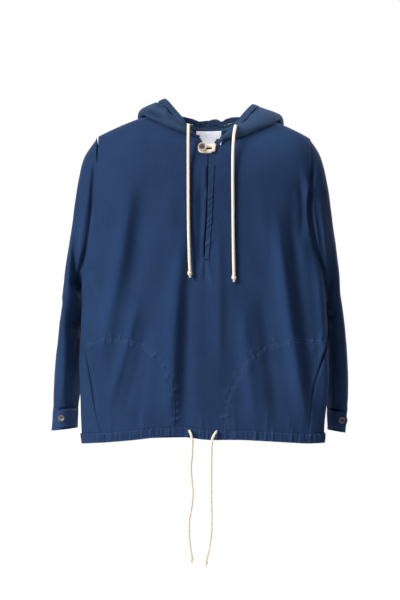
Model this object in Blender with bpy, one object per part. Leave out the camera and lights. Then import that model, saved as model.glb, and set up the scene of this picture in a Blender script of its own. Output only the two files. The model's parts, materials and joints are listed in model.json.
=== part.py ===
"""Anorak pullover, filled out as worn and hollow inside, with its hood fallen back.

Metres, +Z up. The front faces -Y and the wearer's left is +X. The origin is the middle of the
neck at the height of the shoulders, where the wearer's shoulders carry the garment.
"""

import math

import bmesh
import bpy
from mathutils import Vector

WALL = 0.0012  # one layer of cloth
DOUBLE = 0.0020  # cloth turned over on itself: casing, hem and cuffs
SEAM = 0.0003  # gap between neighbours
SIDES = {"right": -1, "left": 1}  # the wearer's sides

SQUARE = 0.8  # power that squares off the front half of a body section
ROUND = 0.150  # height over which the body rounds in to the shoulder line
RIDGE = 0.0  # y of the shoulder seams
PIT = -0.330  # height of the armpits
TIP = -0.034  # height of the shoulder tips
NECK_MIDDLE = 0.012  # the neck and the hood sit a little to the wearer's left
NECK_HALF = 0.085
NECK_SHARE = 0.4  # the neck's share of a panel's top edge
FRONT_NECK = 0.89  # how far the neckline reaches to the front and back of the body
BACK_NECK = 0.73
SLIT_FOOT = -0.287
CASING = 0.020  # height of the hem casing
FOOT = -0.6520  # height of the hem where the side seams reach it
HEM_GAP = 0.0008
HOOD_CASING = 0.013
HOOD_START = 0.10  # share of the neckline where the hood's cloth starts; its casing starts at 0
HOOD_REST = 0.0032  # from the middle of the body's wall to the middle of the hood's
POCKET_CLEAR = 0.0013  # more room behind the front's folds for a pocket bag
ARMHOLE_GAP = 0.0007  # from the panels' edges out to the sleeve's top ring
HOOD_LIFT = 0.0021  # of the hood's neck seam over the panels' edges
HOOD_DROOP = 0.011  # the hood hangs lower and wider on the wearer's left
HOOD_SPREAD = 0.05
HOOD_ROLL = 0.008  # how far the hood stands off its neck seam before it falls
HOOD_TURN = 0.007  # how roundly it turns back up where it lies on the body
CASING_SEAM = 0.0010  # between the hood's edge and its casing
MOUTH_GAP = math.radians(0.8)  # how far the pocket mouths stand open
LIP_SPREAD = 0.045  # how far from the slit its opening pulls the front's cloth
PUCKER = 0.0007  # height of the hem's small gathers
TAB_CLEAR = 0.0009  # room under a cuff's tab

NECK_BUTTON = (-0.001, -0.060)  # x and height of its middle
BUTTON_RADIUS = 0.00875
BUTTON_THICK = 0.0036
BUTTON_STEM = 0.0070
STEM = 0.0014  # radius of the stem
TAB_TIP = {"right": 58, "left": 50}  # turn of the tabs' points round the cuffs, in degrees
TAB_BUTTON = 36  # turn from a tab's point back to its button
CUFF_BUTTON_RADIUS = 0.0062
CUFF_BUTTON_THICK = 0.0028
CUFF_BUTTON_CLEAR = 0.0005
SET_BACK = 0.030  # the wearer's left sleeve hangs this much further back
SET_BACK_DEPTH = 0.80  # and is this much shallower
SET_DOWN = 0.006  # and hangs this much lower
SET_BACK_STEPS = 8  # from the armhole to this ring of the sleeve
LABEL_WIDTH = 0.052
LABEL_TOP = -0.0150
LABEL_DROP = 0.029
LABEL_THICK = 0.0007
LABEL_CLEAR = 0.0006
LOOP_WIDTH = 0.0062
LOOP_CLEAR = 0.0004
# The loop from its tie round the button's stem and back, and the tie: x and height on the front.
LOOP = (
    (0.0188, -0.0554),
    (0.0140, -0.0554),
    (0.0080, -0.0553),
    (0.0030, -0.0553),
    (-0.0008, -0.0556),
    (-0.0045, -0.0572),
    (-0.0060, -0.0607),
    (-0.0045, -0.0642),
    (-0.0008, -0.0658),
    (0.0040, -0.0661),
    (0.0090, -0.0661),
    (0.0135, -0.0660),
    (0.0172, -0.0660),
)
LOOP_TIE = (
    (0.0232, -0.0515),
    (0.0226, -0.0555),
    (0.0217, -0.0610),
    (0.0209, -0.0662),
    (0.0200, -0.0725),
)
HOOD_CORD_WIDTH = 0.0062
HEM_CORD_WIDTH = 0.0050
# The free cords' routes, from their eyelets down to their knots.
HOOD_CORD = {
    "right": (
        (-0.0290, -0.0848, -0.0150),
        (-0.0290, -0.0886, -0.0138),
        (-0.0290, -0.0926, -0.0139),
        (-0.0291, -0.0966, -0.0165),
        (-0.0292, -0.0992, -0.0222),
        (-0.0293, -0.1005, -0.0320),
        (-0.0294, -0.1014, -0.0500),
        (-0.0294, -0.1024, -0.0750),
        (-0.0294, -0.1036, -0.1000),
        (-0.0293, -0.1050, -0.1300),
        (-0.0292, -0.1058, -0.1600),
        (-0.0290, -0.1062, -0.2000),
        (-0.0284, -0.1062, -0.2400),
        (-0.0274, -0.1060, -0.2750),
        (-0.0262, -0.1056, -0.3060),
    ),
    "left": (
        (0.0661, -0.0819, -0.0160),
        (0.0658, -0.0850, -0.0152),
        (0.0651, -0.0887, -0.0157),
        (0.0642, -0.0925, -0.0191),
        (0.0631, -0.0952, -0.0248),
        (0.0620, -0.0968, -0.0325),
        (0.0611, -0.0975, -0.0440),
        (0.0602, -0.0982, -0.0600),
        (0.0598, -0.1000, -0.0800),
        (0.0596, -0.1024, -0.1050),
        (0.0597, -0.1042, -0.1350),
        (0.0599, -0.1052, -0.1700),
        (0.0602, -0.1058, -0.2100),
        (0.0606, -0.1058, -0.2500),
        (0.0612, -0.1054, -0.2850),
        (0.0620, -0.1048, -0.3150),
    ),
}
HEM_CORD = {
    "right": (
        (-0.0270, -0.0853, -0.6270),
        (-0.0268, -0.0891, -0.6272),
        (-0.0257, -0.0919, -0.6292),
        (-0.0239, -0.0933, -0.6336),
        (-0.0225, -0.0932, -0.6400),
        (-0.0216, -0.0921, -0.6500),
        (-0.0222, -0.0906, -0.6700),
        (-0.0246, -0.0900, -0.7000),
        (-0.0232, -0.0894, -0.7260),
        (-0.0210, -0.0890, -0.7520),
        (-0.0234, -0.0886, -0.7780),
        (-0.0280, -0.0880, -0.8040),
        (-0.0286, -0.0876, -0.8290),
        (-0.0268, -0.0872, -0.8540),
        (-0.0228, -0.0868, -0.8800),
    ),
    "left": (
        (0.0272, -0.0857, -0.6280),
        (0.0268, -0.0894, -0.6282),
        (0.0249, -0.0922, -0.6304),
        (0.0217, -0.0934, -0.6352),
        (0.0190, -0.0931, -0.6415),
        (0.0171, -0.0919, -0.6540),
        (0.0163, -0.0906, -0.6750),
        (0.0160, -0.0900, -0.7040),
        (0.0158, -0.0894, -0.7340),
        (0.0160, -0.0890, -0.7640),
        (0.0166, -0.0885, -0.7900),
        (0.0166, -0.0881, -0.8150),
        (0.0154, -0.0877, -0.8400),
        (0.0114, -0.0873, -0.8640),
        (0.0060, -0.0869, -0.8870),
    ),
}


class Table:
    """A short table with named columns, read on a smooth curve through its rows."""

    def __init__(self, columns, *rows):
        self.columns = columns.split()
        self.rows = sorted(rows)

    def slope(self, i, c):
        low, high = self.rows[max(i - 1, 0)], self.rows[min(i + 1, len(self.rows) - 1)]
        return (high[c] - low[c]) / (high[0] - low[0])

    def read(self, key, *names):
        rows = self.rows
        key = min(max(key, rows[0][0]), rows[-1][0])
        i = max(n for n in range(len(rows) - 1) if rows[n][0] <= key)
        step = rows[i + 1][0] - rows[i][0]
        t = (key - rows[i][0]) / step
        values = []
        for name in names or self.columns[1:]:
            c = self.columns.index(name)
            a, b = rows[i][c], rows[i + 1][c]
            p, q = self.slope(i, c) * step, self.slope(i + 1, c) * step
            bend = 3 * (b - a) - 2 * p - q
            values.append(a + t * p + t * t * bend + t**3 * (2 * (a - b) + p + q))
        return values if len(values) > 1 else values[0]


BODY = Table(
    "height right left front back widest",
    (0.030, 0.238, 0.236, -0.094, 0.088, -0.030),
    (-0.100, 0.238, 0.234, -0.098, 0.090, -0.030),
    (-0.200, 0.240, 0.233, -0.101, 0.090, -0.034),
    (-0.280, 0.244, 0.238, -0.100, 0.088, -0.040),
    (-0.330, 0.248, 0.244, -0.099, 0.086, -0.045),
    (-0.360, 0.244, 0.247, -0.098, 0.085, -0.045),
    (-0.440, 0.250, 0.248, -0.093, 0.081, -0.045),
    (-0.510, 0.252, 0.252, -0.089, 0.078, -0.044),
    (-0.570, 0.250, 0.250, -0.086, 0.075, -0.042),
    (-0.620, 0.249, 0.248, -0.083, 0.072, -0.040),
    (-0.660, 0.245, 0.246, -0.081, 0.070, -0.038),
)
SHOULDER = Table(
    "across height",
    (0.000, 0.030),
    (0.085, 0.018),
    (0.128, 0.006),
    (0.169, -0.010),
    (0.200, -0.0250),
    (0.216, -0.0343),
    (0.250, -0.082),
)
# Turns, in degrees from the centre front, of the armhole edges and of the side seams.
ARMHOLE = Table(
    "height front_right front_left back_right back_left",
    (-0.034, 62.0, 64.5, 115.1, 112.9),
    (-0.066, 62.2, 66.4, 117.0, 115.2),
    (-0.100, 62.4, 67.0, 118.5, 117.0),
    (-0.164, 64.0, 60.6, 119.0, 118.0),
    (-0.205, 65.3, 62.5, 118.0, 117.0),
    (-0.244, 66.6, 65.4, 116.0, 116.0),
    (-0.290, 75.0, 75.0, 111.0, 111.0),
    (-0.312, 86.0, 86.0, 106.5, 106.5),
    (-0.330, 100.0, 100.0, 100.0, 100.0),
)
SIDE_SEAM = Table(
    "height right left",
    (-0.660, 49.0, 54.5),
    (-0.630, 51.5, 55.5),
    (-0.610, 54.5, 57.0),
    (-0.594, 57.0, 57.8),
    (-0.550, 59.5, 60.0),
    (-0.508, 63.0, 65.0),
    (-0.467, 68.5, 74.0),
    (-0.436, 76.0, 84.0),
    (-0.400, 88.0, 92.0),
    (-0.360, 97.0, 98.0),
    (-0.330, 100.0, 100.0),
)
MOUTHS = {"right": (-0.594, -0.467), "left": (-0.596, -0.436)}
HEM = Table(
    "across height",
    (-0.246, -0.6534),
    (-0.236, -0.6550),
    (-0.202, -0.6512),
    (-0.144, -0.6460),
    (-0.060, -0.6370),
    (-0.020, -0.6414),
    (0.010, -0.6448),
    (0.074, -0.6450),
    (0.124, -0.6476),
    (0.174, -0.6508),
    (0.220, -0.6534),
    (0.246, -0.6526),
)
BACK_HEM = Table(
    "across height",
    (-0.246, -0.6540),
    (-0.198, -0.6510),
    (0.000, -0.6480),
    (0.210, -0.6530),
    (0.246, -0.6526),
)
LIPS = Table(
    "height right left",
    (-0.049, 0.0020, 0.0240),
    (-0.058, 0.0055, 0.0190),
    (-0.070, 0.0090, 0.0125),
    (-0.100, 0.0092, 0.0112),
    (-0.164, 0.0070, 0.0092),
    (-0.205, 0.0050, 0.0085),
    (-0.245, 0.0018, 0.0050),
    (-0.272, 0.0012, 0.0034),
    (-0.287, 0.0020, 0.0020),
)
# The inner limits of the pocket bags, at each height.
POCKETS = {
    "right": Table(
        "height limit",
        (-0.640, -0.054),
        (-0.554, -0.0545),
        (-0.510, -0.066),
        (-0.484, -0.081),
        (-0.462, -0.108),
        (-0.446, -0.150),
    ),
    "left": Table(
        "height limit",
        (-0.640, 0.043),
        (-0.590, 0.046),
        (-0.548, 0.060),
        (-0.510, 0.078),
        (-0.476, 0.102),
        (-0.452, 0.144),
    ),
}
# Large folds: the crest's line from top to foot, its half width and its height off the cloth.
FOLDS = {
    "front": Table(
        "order top top_x middle_x foot foot_x width height",
        (1, -0.120, -0.166, -0.176, -0.400, -0.196, 0.022, 0.0050),
        (2, -0.290, -0.062, -0.066, -0.630, -0.082, 0.020, 0.0055),
        (3, -0.300, -0.040, -0.034, -0.640, -0.030, 0.014, -0.0030),
        (4, -0.400, -0.150, -0.158, -0.640, -0.180, 0.020, -0.0035),
        (5, -0.180, 0.156, 0.170, -0.630, 0.212, 0.018, 0.0070),
        (6, -0.200, 0.176, 0.194, -0.560, 0.222, 0.013, -0.0040),
        (7, -0.340, 0.086, 0.094, -0.630, 0.126, 0.016, 0.0040),
        (8, -0.260, 0.020, 0.026, -0.560, 0.034, 0.018, 0.0022),
        (9, -0.100, 0.190, 0.186, -0.260, 0.170, 0.010, -0.0035),
        (10, -0.110, -0.110, -0.118, -0.330, -0.128, 0.022, -0.0030),
    ),
    "back": Table(
        "order top top_x middle_x foot foot_x width height",
        (1, -0.140, -0.150, -0.160, -0.560, -0.176, 0.020, 0.0050),
        (2, -0.260, -0.070, -0.078, -0.640, -0.090, 0.018, 0.0040),
        (3, -0.300, 0.006, 0.000, -0.640, -0.012, 0.020, -0.0035),
        (4, -0.240, 0.074, 0.082, -0.640, 0.100, 0.018, 0.0045),
        (5, -0.140, 0.150, 0.158, -0.600, 0.178, 0.020, 0.0050),
    ),
}
# Sleeve rings from the armhole down to the cuff seam, as on the wearer's right.
SLEEVE = Table(
    "step outer_right outer_left outer_z inner inner_z middle_y half_depth turned",
    (0, 0.2155, 0.2170, -0.034, 0.2520, -0.332, -0.012, 0.050, 0.0),
    (1, 0.2395, 0.2385, -0.066, 0.2535, -0.348, -0.004, 0.052, 4.0),
    (2, 0.2475, 0.2460, -0.100, 0.2525, -0.362, 0.004, 0.058, 9.0),
    (3, 0.2515, 0.2510, -0.140, 0.2490, -0.372, 0.008, 0.064, 12.0),
    (4, 0.2570, 0.2570, -0.190, 0.2460, -0.381, 0.010, 0.070, 13.0),
    (5, 0.2680, 0.2680, -0.260, 0.2430, -0.392, 0.010, 0.074, 13.0),
    (6, 0.2780, 0.2785, -0.330, 0.2420, -0.409, 0.012, 0.076, 13.0),
    (7, 0.2865, 0.2865, -0.375, 0.2420, -0.433, 0.013, 0.075, 13.0),
    (8, 0.2945, 0.2935, -0.444, 0.2430, -0.470, 0.013, 0.071, 12.0),
    (9, 0.3005, 0.2980, -0.524, 0.2480, -0.532, 0.012, 0.062, 11.0),
    (10, 0.3035, 0.2955, -0.5805, 0.2560, -0.5785, 0.011, 0.050, 10.0),
)
CUFF = Table(
    "step outer_right outer_left outer_z inner inner_z middle_y half_depth turned",
    (0, 0.3040, 0.2960, -0.5815, 0.2560, -0.5795, 0.010, 0.047, 10.0),
    (1, 0.3065, 0.2945, -0.6050, 0.2565, -0.6015, 0.009, 0.045, 10.0),
    (2, 0.3080, 0.2910, -0.6300, 0.2570, -0.6245, 0.008, 0.043, 10.0),
)
# The hood from the centre front (share 0) round to the centre back (share 1), on one side: where
# it lies lowest on the body, how far its outer wall stands off, and its opening edge.
LYING = Table(
    "share out y height rise",
    (0.10, 0.034, -0.080, -0.040, 0.002),
    (0.18, 0.052, -0.075, -0.030, 0.003),
    (0.30, 0.086, -0.061, -0.010, 0.005),
    (0.45, 0.121, -0.031, 0.004, 0.006),
    (0.60, 0.132, 0.056, -0.030, 0.008),
    (0.80, 0.092, 0.088, -0.140, 0.010),
    (1.00, 0.000, 0.088, -0.188, 0.012),
)
OUTER = Table(
    "share out y height",
    (0.10, 0.034, -0.092, -0.033),
    (0.18, 0.052, -0.089, -0.020),
    (0.30, 0.094, -0.066, 0.005),
    (0.45, 0.134, -0.012, 0.027),
    (0.60, 0.145, 0.070, 0.011),
    (0.80, 0.094, 0.142, -0.070),
    (1.00, 0.000, 0.160, -0.110),
)
EDGE = Table(
    "share out y height",
    (0.00, 0.010, -0.086, -0.045),
    (0.15, 0.032, -0.082, -0.022),
    (0.30, 0.060, -0.060, 0.012),
    (0.45, 0.086, -0.014, 0.044),
    (0.60, 0.092, 0.036, 0.042),
    (0.80, 0.068, 0.096, 0.021),
    (1.00, 0.000, 0.118, 0.008),
)


def smooth(t):
    """Eased step from 0 to 1."""
    t = min(max(t, 0.0), 1.0)
    return t * t * (3 - 2 * t)


def section(turn, height):
    """Point of the body's section at a height, without the rounding at the shoulders."""
    right, left, front, back, widest = BODY.read(height)
    sway, reach = math.sin(turn), math.cos(turn)
    half = left if sway > 0 else right
    power = SQUARE if reach > 0 else 1.0
    x = half * math.copysign(abs(sway) ** power, sway)
    y = widest + ((front if reach > 0 else back) - widest) * abs(reach) ** power
    return x, y


def body_point(turn, height):
    x, y = section(turn, height)
    drop = max(SHOULDER.read(abs(x)) - height, 0.0) / ROUND
    fullness = math.sqrt(1 - (1 - min(drop, 1.0)) ** 2)
    return Vector((x, RIDGE + (y - RIDGE) * fullness, height))


def fold_height(panel, x, height):
    total = 0.0
    for order, top, top_x, middle_x, foot, foot_x, width, size in FOLDS[panel].rows:
        t = (top - height) / (top - foot)
        if 0 < t < 1:
            line = (1 - t) ** 2 * top_x + 2 * t * (1 - t) * middle_x + t * t * foot_x
            fade = smooth(t / 0.3) * smooth((1 - t) / 0.15)
            total += size * fade * math.exp(-(((x - line) / width) ** 2))
    return total


def body(turn, height, out=0.0, panel=None, share=0.0):
    """Point on the body, moved out along its normal, with the panel's folds."""
    step = 0.0005
    here = body_point(turn, height)
    along = body_point(turn + step, height) - body_point(turn - step, height)
    up = here - body_point(turn, height - step)
    if panel:
        out += fold_height(panel, here.x, height) * smooth((1 - abs(share)) / 0.06)
    return here + along.cross(up).normalized() * out


def turn_at(x, height, back=False):
    """Turn at which the body's section has a given x."""
    right, left = BODY.read(height, "right", "left")
    ratio = min(abs(x) / (left if x > 0 else right), 1.0)
    turn = math.pi - math.asin(ratio) if back else math.asin(ratio ** (1 / SQUARE))
    return math.copysign(turn, x)


def even_turns(first, last, count):
    """Turns between two turns, evenly spaced round the body's section."""
    steps = 60
    turns = [first + (last - first) * n / steps for n in range(steps + 1)]
    points = [Vector(section(t, PIT)) for t in turns]
    lengths = [0.0]
    for a, b in zip(points, points[1:]):
        lengths.append(lengths[-1] + (b - a).length)
    found, n = [], 0
    for k in range(count + 1):
        goal = lengths[-1] * k / count
        while n < steps - 1 and lengths[n + 1] < goal:
            n += 1
        t = (goal - lengths[n]) / (lengths[n + 1] - lengths[n])
        found.append(turns[n] + (turns[n + 1] - turns[n]) * t)
    return found


def neck_height(x, reach):
    """Height of the neckline at x; the neckline is an ellipse from above."""
    ratio = min(abs(x - NECK_MIDDLE) / NECK_HALF, 1.0)
    drop = 1 - math.sqrt(1 - reach**2 * (1 - ratio**2))
    return SHOULDER.read(abs(x)) - ROUND * drop


def levels(bottom):
    """Heights of a panel's rows along its side edges, from its bottom up to the shoulder tip."""
    rows = [bottom + (PIT - bottom) * n / 11 for n in range(11)]
    low = TIP - ROUND
    rows += [PIT + (low - PIT) * n / 6 for n in range(6)]
    rows += [TIP - ROUND * (1 - math.cos(math.radians(90 - 11.25 * n))) for n in range(9)]
    return rows


def edge_turn(panel, side, height):
    """Turn of a panel's side edge, along the side seam below the armpit and the armhole above."""
    if height >= PIT:
        turn = math.radians(ARMHOLE.read(height, f"{panel}_{side}"))
    else:
        turn = math.radians(SIDE_SEAM.read(height, side))
    x, y = section(turn, height)
    ahead = section(turn + 0.01, height)
    gap = 0.01 * SEAM * 0.8 / math.hypot(ahead[0] - x, ahead[1] - y)
    if panel == "back":
        return turn + gap
    low, high = MOUTHS[side]
    t = (height - low) / (high - low)
    mouth = MOUTH_GAP * math.sin(math.pi * t) if 0 < t < 1 else 0.0
    return turn - gap - mouth


def panel_rows(panel, side, shares):
    """Rows of points of half a panel, from its middle to its side edge, hem to shoulder."""
    sign = SIDES[side]
    back = panel == "back"
    middle = math.pi if back else 0.0
    hem = BACK_HEM if back else HEM
    heights = levels(FOOT + CASING + HEM_GAP)
    tip_x = section(edge_turn(panel, side, TIP), TIP)[0]
    neck_x = abs(sign * NECK_HALF + NECK_MIDDLE)
    rows = []
    for level in heights:
        last = edge_turn(panel, side, level)
        regular = even_turns(middle, last, 60)
        regular_top = even_turns(middle, edge_turn(panel, side, TIP), 60)
        rise = smooth((level - PIT) / (TIP - PIT))
        fall = 1 - smooth((level - heights[0]) / 0.12)
        row = []
        for share in shares:
            if share < NECK_SHARE:
                t = share / NECK_SHARE
                top_x = neck_x * (0.35 * t + 0.65 * math.sin(math.pi / 2 * t))
            else:
                top_x = neck_x + (tip_x - neck_x) * (share - NECK_SHARE) / (1 - NECK_SHARE)
            top_turn = abs(turn_at(sign * top_x, 0.0, back))
            place = share * 60
            k = min(int(place), 59)
            turn = regular[k] + (regular[k + 1] - regular[k]) * (place - k)
            top_regular = regular_top[k] + (regular_top[k + 1] - regular_top[k]) * (place - k)
            turn += rise * (top_turn - top_regular)
            if share < NECK_SHARE - 0.001:
                top = neck_height(sign * top_x, BACK_NECK if back else FRONT_NECK)
            else:
                top = SHOULDER.read(top_x)
            x = section(sign * turn, level)[0]
            height = level + rise * (top - TIP) + fall * (hem.read(x) - FOOT)
            row.append(body(sign * turn, height, 0.0, panel, share))
        rows.append(row)
    for point in rows[-1]:
        point.y += SEAM if back else -SEAM
    return rows


def material(name, colour, roughness):
    """A Principled material, made once."""
    found = bpy.data.materials.get(name)
    if found is None:
        found = bpy.data.materials.new(name)
        found.use_nodes = True
        shader = found.node_tree.nodes["Principled BSDF"]
        shader.inputs["Base Color"].default_value = (*colour, 1)
        shader.inputs["Roughness"].default_value = roughness
        shader.inputs["Metallic"].default_value = 0.0
    return found


def navy():
    return material("navy_cloth", (0.016, 0.050, 0.125), 0.85)


def hood_navy():
    return material("hood_cloth", (0.024, 0.066, 0.150), 0.85)


def cream():
    return material("cream_cord", (0.78, 0.74, 0.64), 0.8)


def white():
    return material("white_label", (0.84, 0.84, 0.86), 0.7)


def horn():
    return material("horn_button", (0.16, 0.11, 0.075), 0.35)


def add(name, mesh, finish):
    thing = bpy.data.objects.new(name, mesh)
    bpy.context.scene.collection.objects.link(thing)
    mesh.materials.append(finish)
    return thing


def cloth(name, rows, wall, finish, ring=False, slit=None):
    """A cloth wall through rows of points: a ring closes, and a slit parts two columns."""
    shell = bmesh.new()
    grid = [[shell.verts.new(point) for point in row] for row in rows]
    for low, high in zip(grid, grid[1:]):
        count = len(low)
        for n in range(count if ring else count - 1):
            if n != slit:
                m = (n + 1) % count
                shell.faces.new((low[n], low[m], high[m], high[n]))
    bmesh.ops.remove_doubles(shell, verts=shell.verts, dist=1e-6)
    mesh = bpy.data.meshes.new(name)
    shell.to_mesh(mesh)
    shell.free()
    mesh.shade_smooth()
    thing = add(name, mesh, finish)
    thick = thing.modifiers.new("wall", "SOLIDIFY")
    thick.thickness = wall
    thick.offset = 0.0
    thick.use_even_offset = False
    return thing


def shares(count, first=None):
    """Even shares from 0 to 1, with a narrow first column where one is asked for."""
    even = [n / count for n in range(count + 1)]
    return even if first is None else [0.0, first] + even[1:]


def build_front():
    """The front, slit from the neck down, with its two halves joined below the slit."""
    halves = {side: panel_rows("front", side, shares(15, 0.036)) for side in SIDES}
    for side, rows in halves.items():
        for row in rows:
            middle = row[0]
            top = middle.z > SLIT_FOOT + 0.004
            right, left = LIPS.read(middle.z)
            lip = (left if side == "left" else right) if top else 0.002
            fade_in = 1 if top else smooth((middle.z + 0.42) / 0.13)
            for point in row:
                point.x += lip * fade_in * math.exp(-((point.x / LIP_SPREAD) ** 2))
    rows = [right[::-1] + left for right, left in zip(halves["right"], halves["left"])]
    cloth("front", rows, WALL, navy(), slit=len(halves["right"][0]) - 1)
    return halves


def build_back():
    halves = {side: panel_rows("back", side, shares(13)) for side in SIDES}
    rows = [right[::-1] + left[1:] for right, left in zip(halves["right"], halves["left"])]
    cloth("back", rows, WALL, navy())
    return halves


def moved_out(grid, distance):
    """A copy of a grid of points, moved along the grid's own normals."""
    moved = []
    for r, row in enumerate(grid):
        line = []
        for c, point in enumerate(row):
            across = row[min(c + 1, len(row) - 1)] - row[max(c - 1, 0)]
            up = grid[min(r + 1, len(grid) - 1)][c] - grid[max(r - 1, 0)][c]
            line.append(point + across.cross(up).normalized() * distance)
        moved.append(line)
    return moved


def build_slit_facing(halves):
    """The facing, rolled out over the slit's edge on the wearer's left."""
    rows = [row[:2] for row in halves["left"] if SLIT_FOOT - 0.002 < row[0].z < -0.085]
    rows = [[a, a.lerp(b, 0.5), b] for a, b in rows]
    cloth("slit_facing", moved_out(rows, WALL + SEAM), WALL, navy())


def ring_point(table, step, side, angle):
    """Point of a sleeve or cuff ring; angle 0 is outside, 90 the front, 180 inside."""
    sign = SIDES[side]
    outer_z, inner, inner_z, middle_y, half_depth, turned = table.read(
        step, "outer_z", "inner", "inner_z", "middle_y", "half_depth", "turned"
    )
    outer = table.read(step, f"outer_{side}")
    if side == "left":
        set_back = 1.0 if table is CUFF else smooth(step / SET_BACK_STEPS)
        outer_z -= SET_DOWN * set_back
        inner_z -= SET_DOWN * set_back
        middle_y += SET_BACK * set_back
        half_depth *= 1 - (1 - SET_BACK_DEPTH) * set_back
    turned = math.radians(turned)
    lean = half_depth * math.sin(turned)
    half_across = (outer - inner) / 2
    if outer_z < PIT:
        half_across = math.sqrt(max(half_across**2 - lean**2, 0.012**2))
    middle_x = (outer + inner) / 2
    across, along = math.cos(angle), math.sin(angle)
    x = middle_x + half_across * across + lean * along
    y = middle_y - half_depth * math.cos(turned) * along
    z = (outer_z + inner_z) / 2 + (outer_z - inner_z) / 2 * across
    return Vector((sign * x, y, z))


def armhole_point(side, angle):
    """Point of the armhole's loop, just clear of the panels' edges."""
    low = (1 - math.cos(angle)) / 2
    height = TIP + (PIT - TIP) * low
    panel = "front" if angle <= math.pi else "back"
    turn = SIDES[side] * edge_turn(panel, side, height)
    point = body(turn, height)
    point.x += SIDES[side] * (ARMHOLE_GAP + 0.0020 * low**3)
    return point


def build_sleeve(side, around=18, steps=20):
    rows = []
    for n in range(steps + 1):
        step = 10 * n / steps
        hold = max(0.0, 1 - step / 3) ** 2
        row = []
        for k in range(around):
            angle = 2 * math.pi * k / around
            point = ring_point(SLEEVE, step, side, angle)
            if hold:
                point += (armhole_point(side, angle) - ring_point(SLEEVE, 0, side, angle)) * hold
            row.append(point)
        rows.append(row)
    cloth(f"sleeve_{side}", rows, WALL, navy(), ring=True)


def cuff_point(side, step, angle, out=0.0):
    point = ring_point(CUFF, step, side, angle)
    ahead = ring_point(CUFF, step, side, angle + 0.01) - point
    down = Vector((0, 0, -1))
    normal = ahead.cross(down).normalized() * SIDES[side]
    middle = (ring_point(CUFF, step, side, 0) + ring_point(CUFF, step, side, math.pi)) / 2
    if normal.dot(point - middle) < 0:
        normal.negate()
    return point + normal * out


def build_cuff(side, around=18):
    rows = [
        [cuff_point(side, step, 2 * math.pi * k / around) for k in range(around)] for step in (0, 1, 2)
    ]
    cloth(f"cuff_{side}", rows, DOUBLE, navy(), ring=True)


def build_tab(side):
    """The pointed tab round the front of the cuff, from its inner side."""
    out = DOUBLE / 2 + SEAM + WALL / 2 + TAB_CLEAR
    angles = [math.radians(TAB_TIP[side] + a) for a in (114, 96, 78, 62, 46, 31, 20, 10, 0)]
    reach = [0.80, 0.80, 0.80, 0.80, 0.80, 0.78, 0.62, 0.34, 0.06]
    rows = []
    for part in (-1, 0, 1):
        rows.append([cuff_point(side, 1 + part * r, a, out) for a, r in zip(angles, reach)])
    cloth(f"tab_{side}", rows, WALL, navy())
    place = math.radians(TAB_TIP[side] + TAB_BUTTON)
    seat = cuff_point(side, 1.0, place, out)
    centre = cuff_point(side, 1.0, place, out + WALL / 2 + CUFF_BUTTON_CLEAR + CUFF_BUTTON_THICK / 2)
    build_button(f"button_{side}", centre, centre - seat, CUFF_BUTTON_RADIUS, CUFF_BUTTON_THICK)


def build_button(name, centre, facing, radius, thick, stem=0.0, around=16):
    """A turned button with a raised rim, a dished middle and, where it is held off, a stem."""
    foot = ((0.0, -thick / 2 - stem), (STEM, -thick / 2 - stem), (STEM, -thick / 2))
    profile = (foot if stem else ((0.0, -thick / 2),)) + (
        (radius * 0.88, -thick / 2),
        (radius, -thick * 0.1),
        (radius * 0.90, thick / 2),
        (radius * 0.70, thick / 2),
        (radius * 0.58, thick * 0.12),
        (0.0, thick * 0.12),
    )
    shell = bmesh.new()
    verts = [shell.verts.new((r, 0, z)) for r, z in profile]
    edges = [shell.edges.new(pair) for pair in zip(verts, verts[1:])]
    bmesh.ops.spin(
        shell, geom=verts + edges, cent=(0, 0, 0), axis=(0, 0, 1), angle=2 * math.pi, steps=around
    )
    bmesh.ops.remove_doubles(shell, verts=shell.verts, dist=1e-6)
    bmesh.ops.recalc_face_normals(shell, faces=shell.faces)
    mesh = bpy.data.meshes.new(name)
    shell.to_mesh(mesh)
    shell.free()
    mesh.shade_smooth()
    thing = add(name, mesh, horn())
    thing.location = centre
    thing.rotation_mode = "QUATERNION"
    thing.rotation_quaternion = facing.to_track_quat("Z", "Y")
    return thing


def row_at(row, x):
    """Point on a row's own line at a given x."""
    for a, b in zip(row, row[1:]):
        if min(a.x, b.x) <= x <= max(a.x, b.x):
            return a.lerp(b, (x - a.x) / (b.x - a.x))
    return row[-1].copy()


def on_body(x, height, back, out):
    return body(turn_at(x, height, back), height, out)


def above_body(point, gap, onto=False):
    """The point moved out of the body, or right onto it, square to its arched shoulders."""
    x, y, z = point
    top = SHOULDER.read(abs(x))
    level = min(z, top)
    reach = abs(section(turn_at(x, level, y > RIDGE), level)[1] - RIDGE) + gap
    arch = ROUND + gap
    across, rise = (y - RIDGE) / reach, (z - top + ROUND) / arch
    size = math.hypot(across, max(rise, 0.0))
    if size >= 1 and not onto:
        return point
    if rise <= 0:
        return Vector((x, RIDGE + math.copysign(reach, across), z))
    return Vector((x, RIDGE + reach * across / size, top - ROUND + arch * rise / size))


def rest_on_body(grid, first, last, gap):
    """Move the inner points of a grid until the cloth between them is clear of the body too."""
    pairs = []
    for r, row in enumerate(grid):
        for c in range(first, last):
            pairs.append((row[c], row[c + 1]))
            if r + 1 < len(grid):
                pairs.append((row[c], grid[r + 1][c]))
                pairs.append((row[c], grid[r + 1][c + 1]))
    for turn in range(4):
        for one, other in pairs:
            middle = one.lerp(other, 0.5)
            move = above_body(middle, gap) - middle
            one += move
            other += move


def whole_top(halves):
    """A panel's top row, from the wearer's right to the left."""
    return halves["right"][-1][::-1] + halves["left"][-1]


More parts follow.
